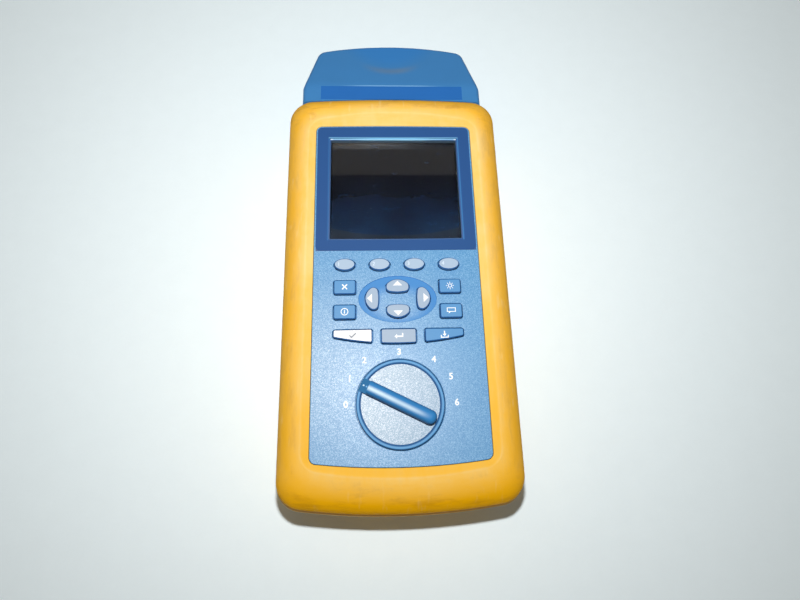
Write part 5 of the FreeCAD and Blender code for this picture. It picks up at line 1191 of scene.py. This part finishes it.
class ANALYZER_OT_inside(bpy.types.Operator):
    """Finishes the boards, connectors and other inner pieces"""
    bl_idname = "analyzer.inside"
    bl_label = "Finish the Inner Pieces"

    def execute(self, context):
        finish_nodes(board_finish(), "key_board", "main_board", "measure_board", "adapter_board")
        black = plain_plastic("black_plastic", paint(*BLACK), 0.45)
        finish_nodes(
            black, "adapter_jack", "adapter_plug", "adapter_socket", "power_jack", "talk_jack",
            "board_chips", "sounder", "switch_housing", "battery_tray", "battery_latch",
            "release_slide", "release_hook")
        sheet = metal("sheet_steel", (0.58, 0.58, 0.57), 0.36, BRUSHED)
        finish_nodes(sheet, "shield_can", "serial_port", "card_slot")
        coated = metal("blackened_steel", (0.10, 0.10, 0.10), 0.5, BRUSHED)
        finish_nodes(coated, "lcd_bracket")
        finish_nodes(metal("contact_brass", (0.78, 0.58, 0.24), 0.3), "jack_contacts", "port_pins")
        finish_nodes(metal("post_brass", (0.70, 0.55, 0.26), 0.38), "board_posts")
        finish_nodes(plain_plastic("light_guide", paint(226, 230, 224), 0.3), "backlight")
        finish_nodes(plain_plastic("dome_rubber", paint(96, 104, 112), 0.6), "keypad_mat")
        finish_nodes(plain_plastic("battery_wrap", paint(40, 52, 92), 0.35), "battery_pack")
        return {"FINISHED"}


class ANALYZER_OT_ribs(bpy.types.Operator):
    """Puts grip ribs on the release slide and on the battery latch"""
    bl_idname = "analyzer.ribs"
    bl_label = "Add the Grip Ribs"

    def execute(self, context):
        look = context.scene.analyzer_back
        black = plain_plastic("rib_plastic", paint(*BLACK), 0.45)
        for node in ("release_slide", "battery_latch"):
            low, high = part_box(node)
            room = high.y - low.y - 2.0 * look.rib_margin
            count = int(room / look.rib_pitch) + 1
            start = (low.y + high.y - (count - 1) * look.rib_pitch) / 2
            sizes = {
                "Count": count, "Pitch": look.rib_pitch, "Radius": look.rib_radius,
                "Length": high.x - low.x - 2.0 * look.rib_margin, "Rib Finish": black}
            mesh = grown_mesh(f"{node}_ribs", rib_tree(), sizes)
            mesh.transform(Matrix.Translation(((low.x + high.x) / 2, start, low.z)))
            add_piece(f"{node}_ribs", mesh, BODY_OF[node], black)
        return {"FINISHED"}


class ANALYZER_OT_feet(bpy.types.Operator):
    """Finishes the rubber feet"""
    bl_idname = "analyzer.feet"
    bl_label = "Finish the Feet"

    def execute(self, context):
        rubber = plain_plastic("foot_rubber", paint(58, 60, 64), 0.65)
        finish_nodes(rubber, "rubber_feet")
        return {"FINISHED"}


class ANALYZER_OT_stage(bpy.types.Operator):
    """Sets the floor, the lights and the camera"""
    bl_idname = "analyzer.stage"
    bl_label = "Set the Stage"

    def execute(self, context):
        look = context.scene.analyzer_stage
        scene = context.scene
        half = look.floor_size / 2
        mesh = bpy.data.meshes.new("floor")
        corners = [(-half, -half, 0.0), (half, -half, 0.0), (half, half, 0.0), (-half, half, 0.0)]
        mesh.from_pydata(corners, [], [(0, 1, 2, 3)])
        mesh.materials.append(floor_paint(look))
        floor = bpy.data.objects.new("floor", mesh)
        scene.collection.objects.link(floor)

        place = Vector(look.flash_place)
        add_light("flash", place, look.flash_size, look.flash_power)
        sheen = add_light("sheen", place + Vector(look.sheen_shift), look.sheen_size, look.sheen_power)
        sheen.visible_diffuse = False
        sheen.data.color = look.sheen_tint

        world = bpy.data.worlds.new("studio")
        world.use_nodes = True
        scene.world = world
        sky(world.node_tree)

        lens = bpy.data.cameras.new("camera")
        lens.sensor_width = SENSOR_WIDTH
        lens.lens = look.lens
        lens.clip_start = CLIP_START
        camera = bpy.data.objects.new("camera", lens)
        camera.location = look.camera_place
        camera.rotation_euler = Euler(look.camera_turn, "XYZ")
        scene.collection.objects.link(camera)
        scene.camera = camera
        scene.view_settings.view_transform = "Standard"
        return {"FINISHED"}


class ANALYZER_PT_sidebar(bpy.types.Panel):
    """Lists the steps of the dressing"""
    bl_idname = "ANALYZER_PT_sidebar"
    bl_label = "Cable Analyzer"
    bl_space_type = "VIEW_3D"
    bl_region_type = "UI"
    bl_category = "Analyzer"

    def draw(self, context):
        for operator in OPERATORS:
            self.layout.operator(operator.bl_idname)
        for name in LOOKS:
            look = getattr(context.scene, name)
            group = self.layout.box()
            for field in look.bl_rna.properties:
                if field.identifier not in ("rna_type", "name"):
                    group.prop(look, field.identifier)


OPERATORS = (
    ANALYZER_OT_case, ANALYZER_OT_panel, ANALYZER_OT_keys, ANALYZER_OT_dial, ANALYZER_OT_adapter,
    ANALYZER_OT_inside, ANALYZER_OT_ribs, ANALYZER_OT_feet, ANALYZER_OT_stage)


def register():
    for kind in (*LOOKS.values(), *OPERATORS, ANALYZER_PT_sidebar):
        bpy.utils.register_class(kind)
    for name, kind in LOOKS.items():
        setattr(bpy.types.Scene, name, PointerProperty(type=kind))


def unregister():
    for name in LOOKS:
        delattr(bpy.types.Scene, name)
    for kind in reversed((*LOOKS.values(), *OPERATORS, ANALYZER_PT_sidebar)):
        bpy.utils.unregister_class(kind)


def main():
    register()
    bpy.ops.analyzer.case()
    bpy.ops.analyzer.panel()
    bpy.ops.analyzer.keys()
    bpy.ops.analyzer.dial()
    bpy.ops.analyzer.adapter()
    bpy.ops.analyzer.inside()
    bpy.ops.analyzer.ribs()
    bpy.ops.analyzer.feet()
    bpy.ops.analyzer.stage()


if __name__ == "__main__":
    main()
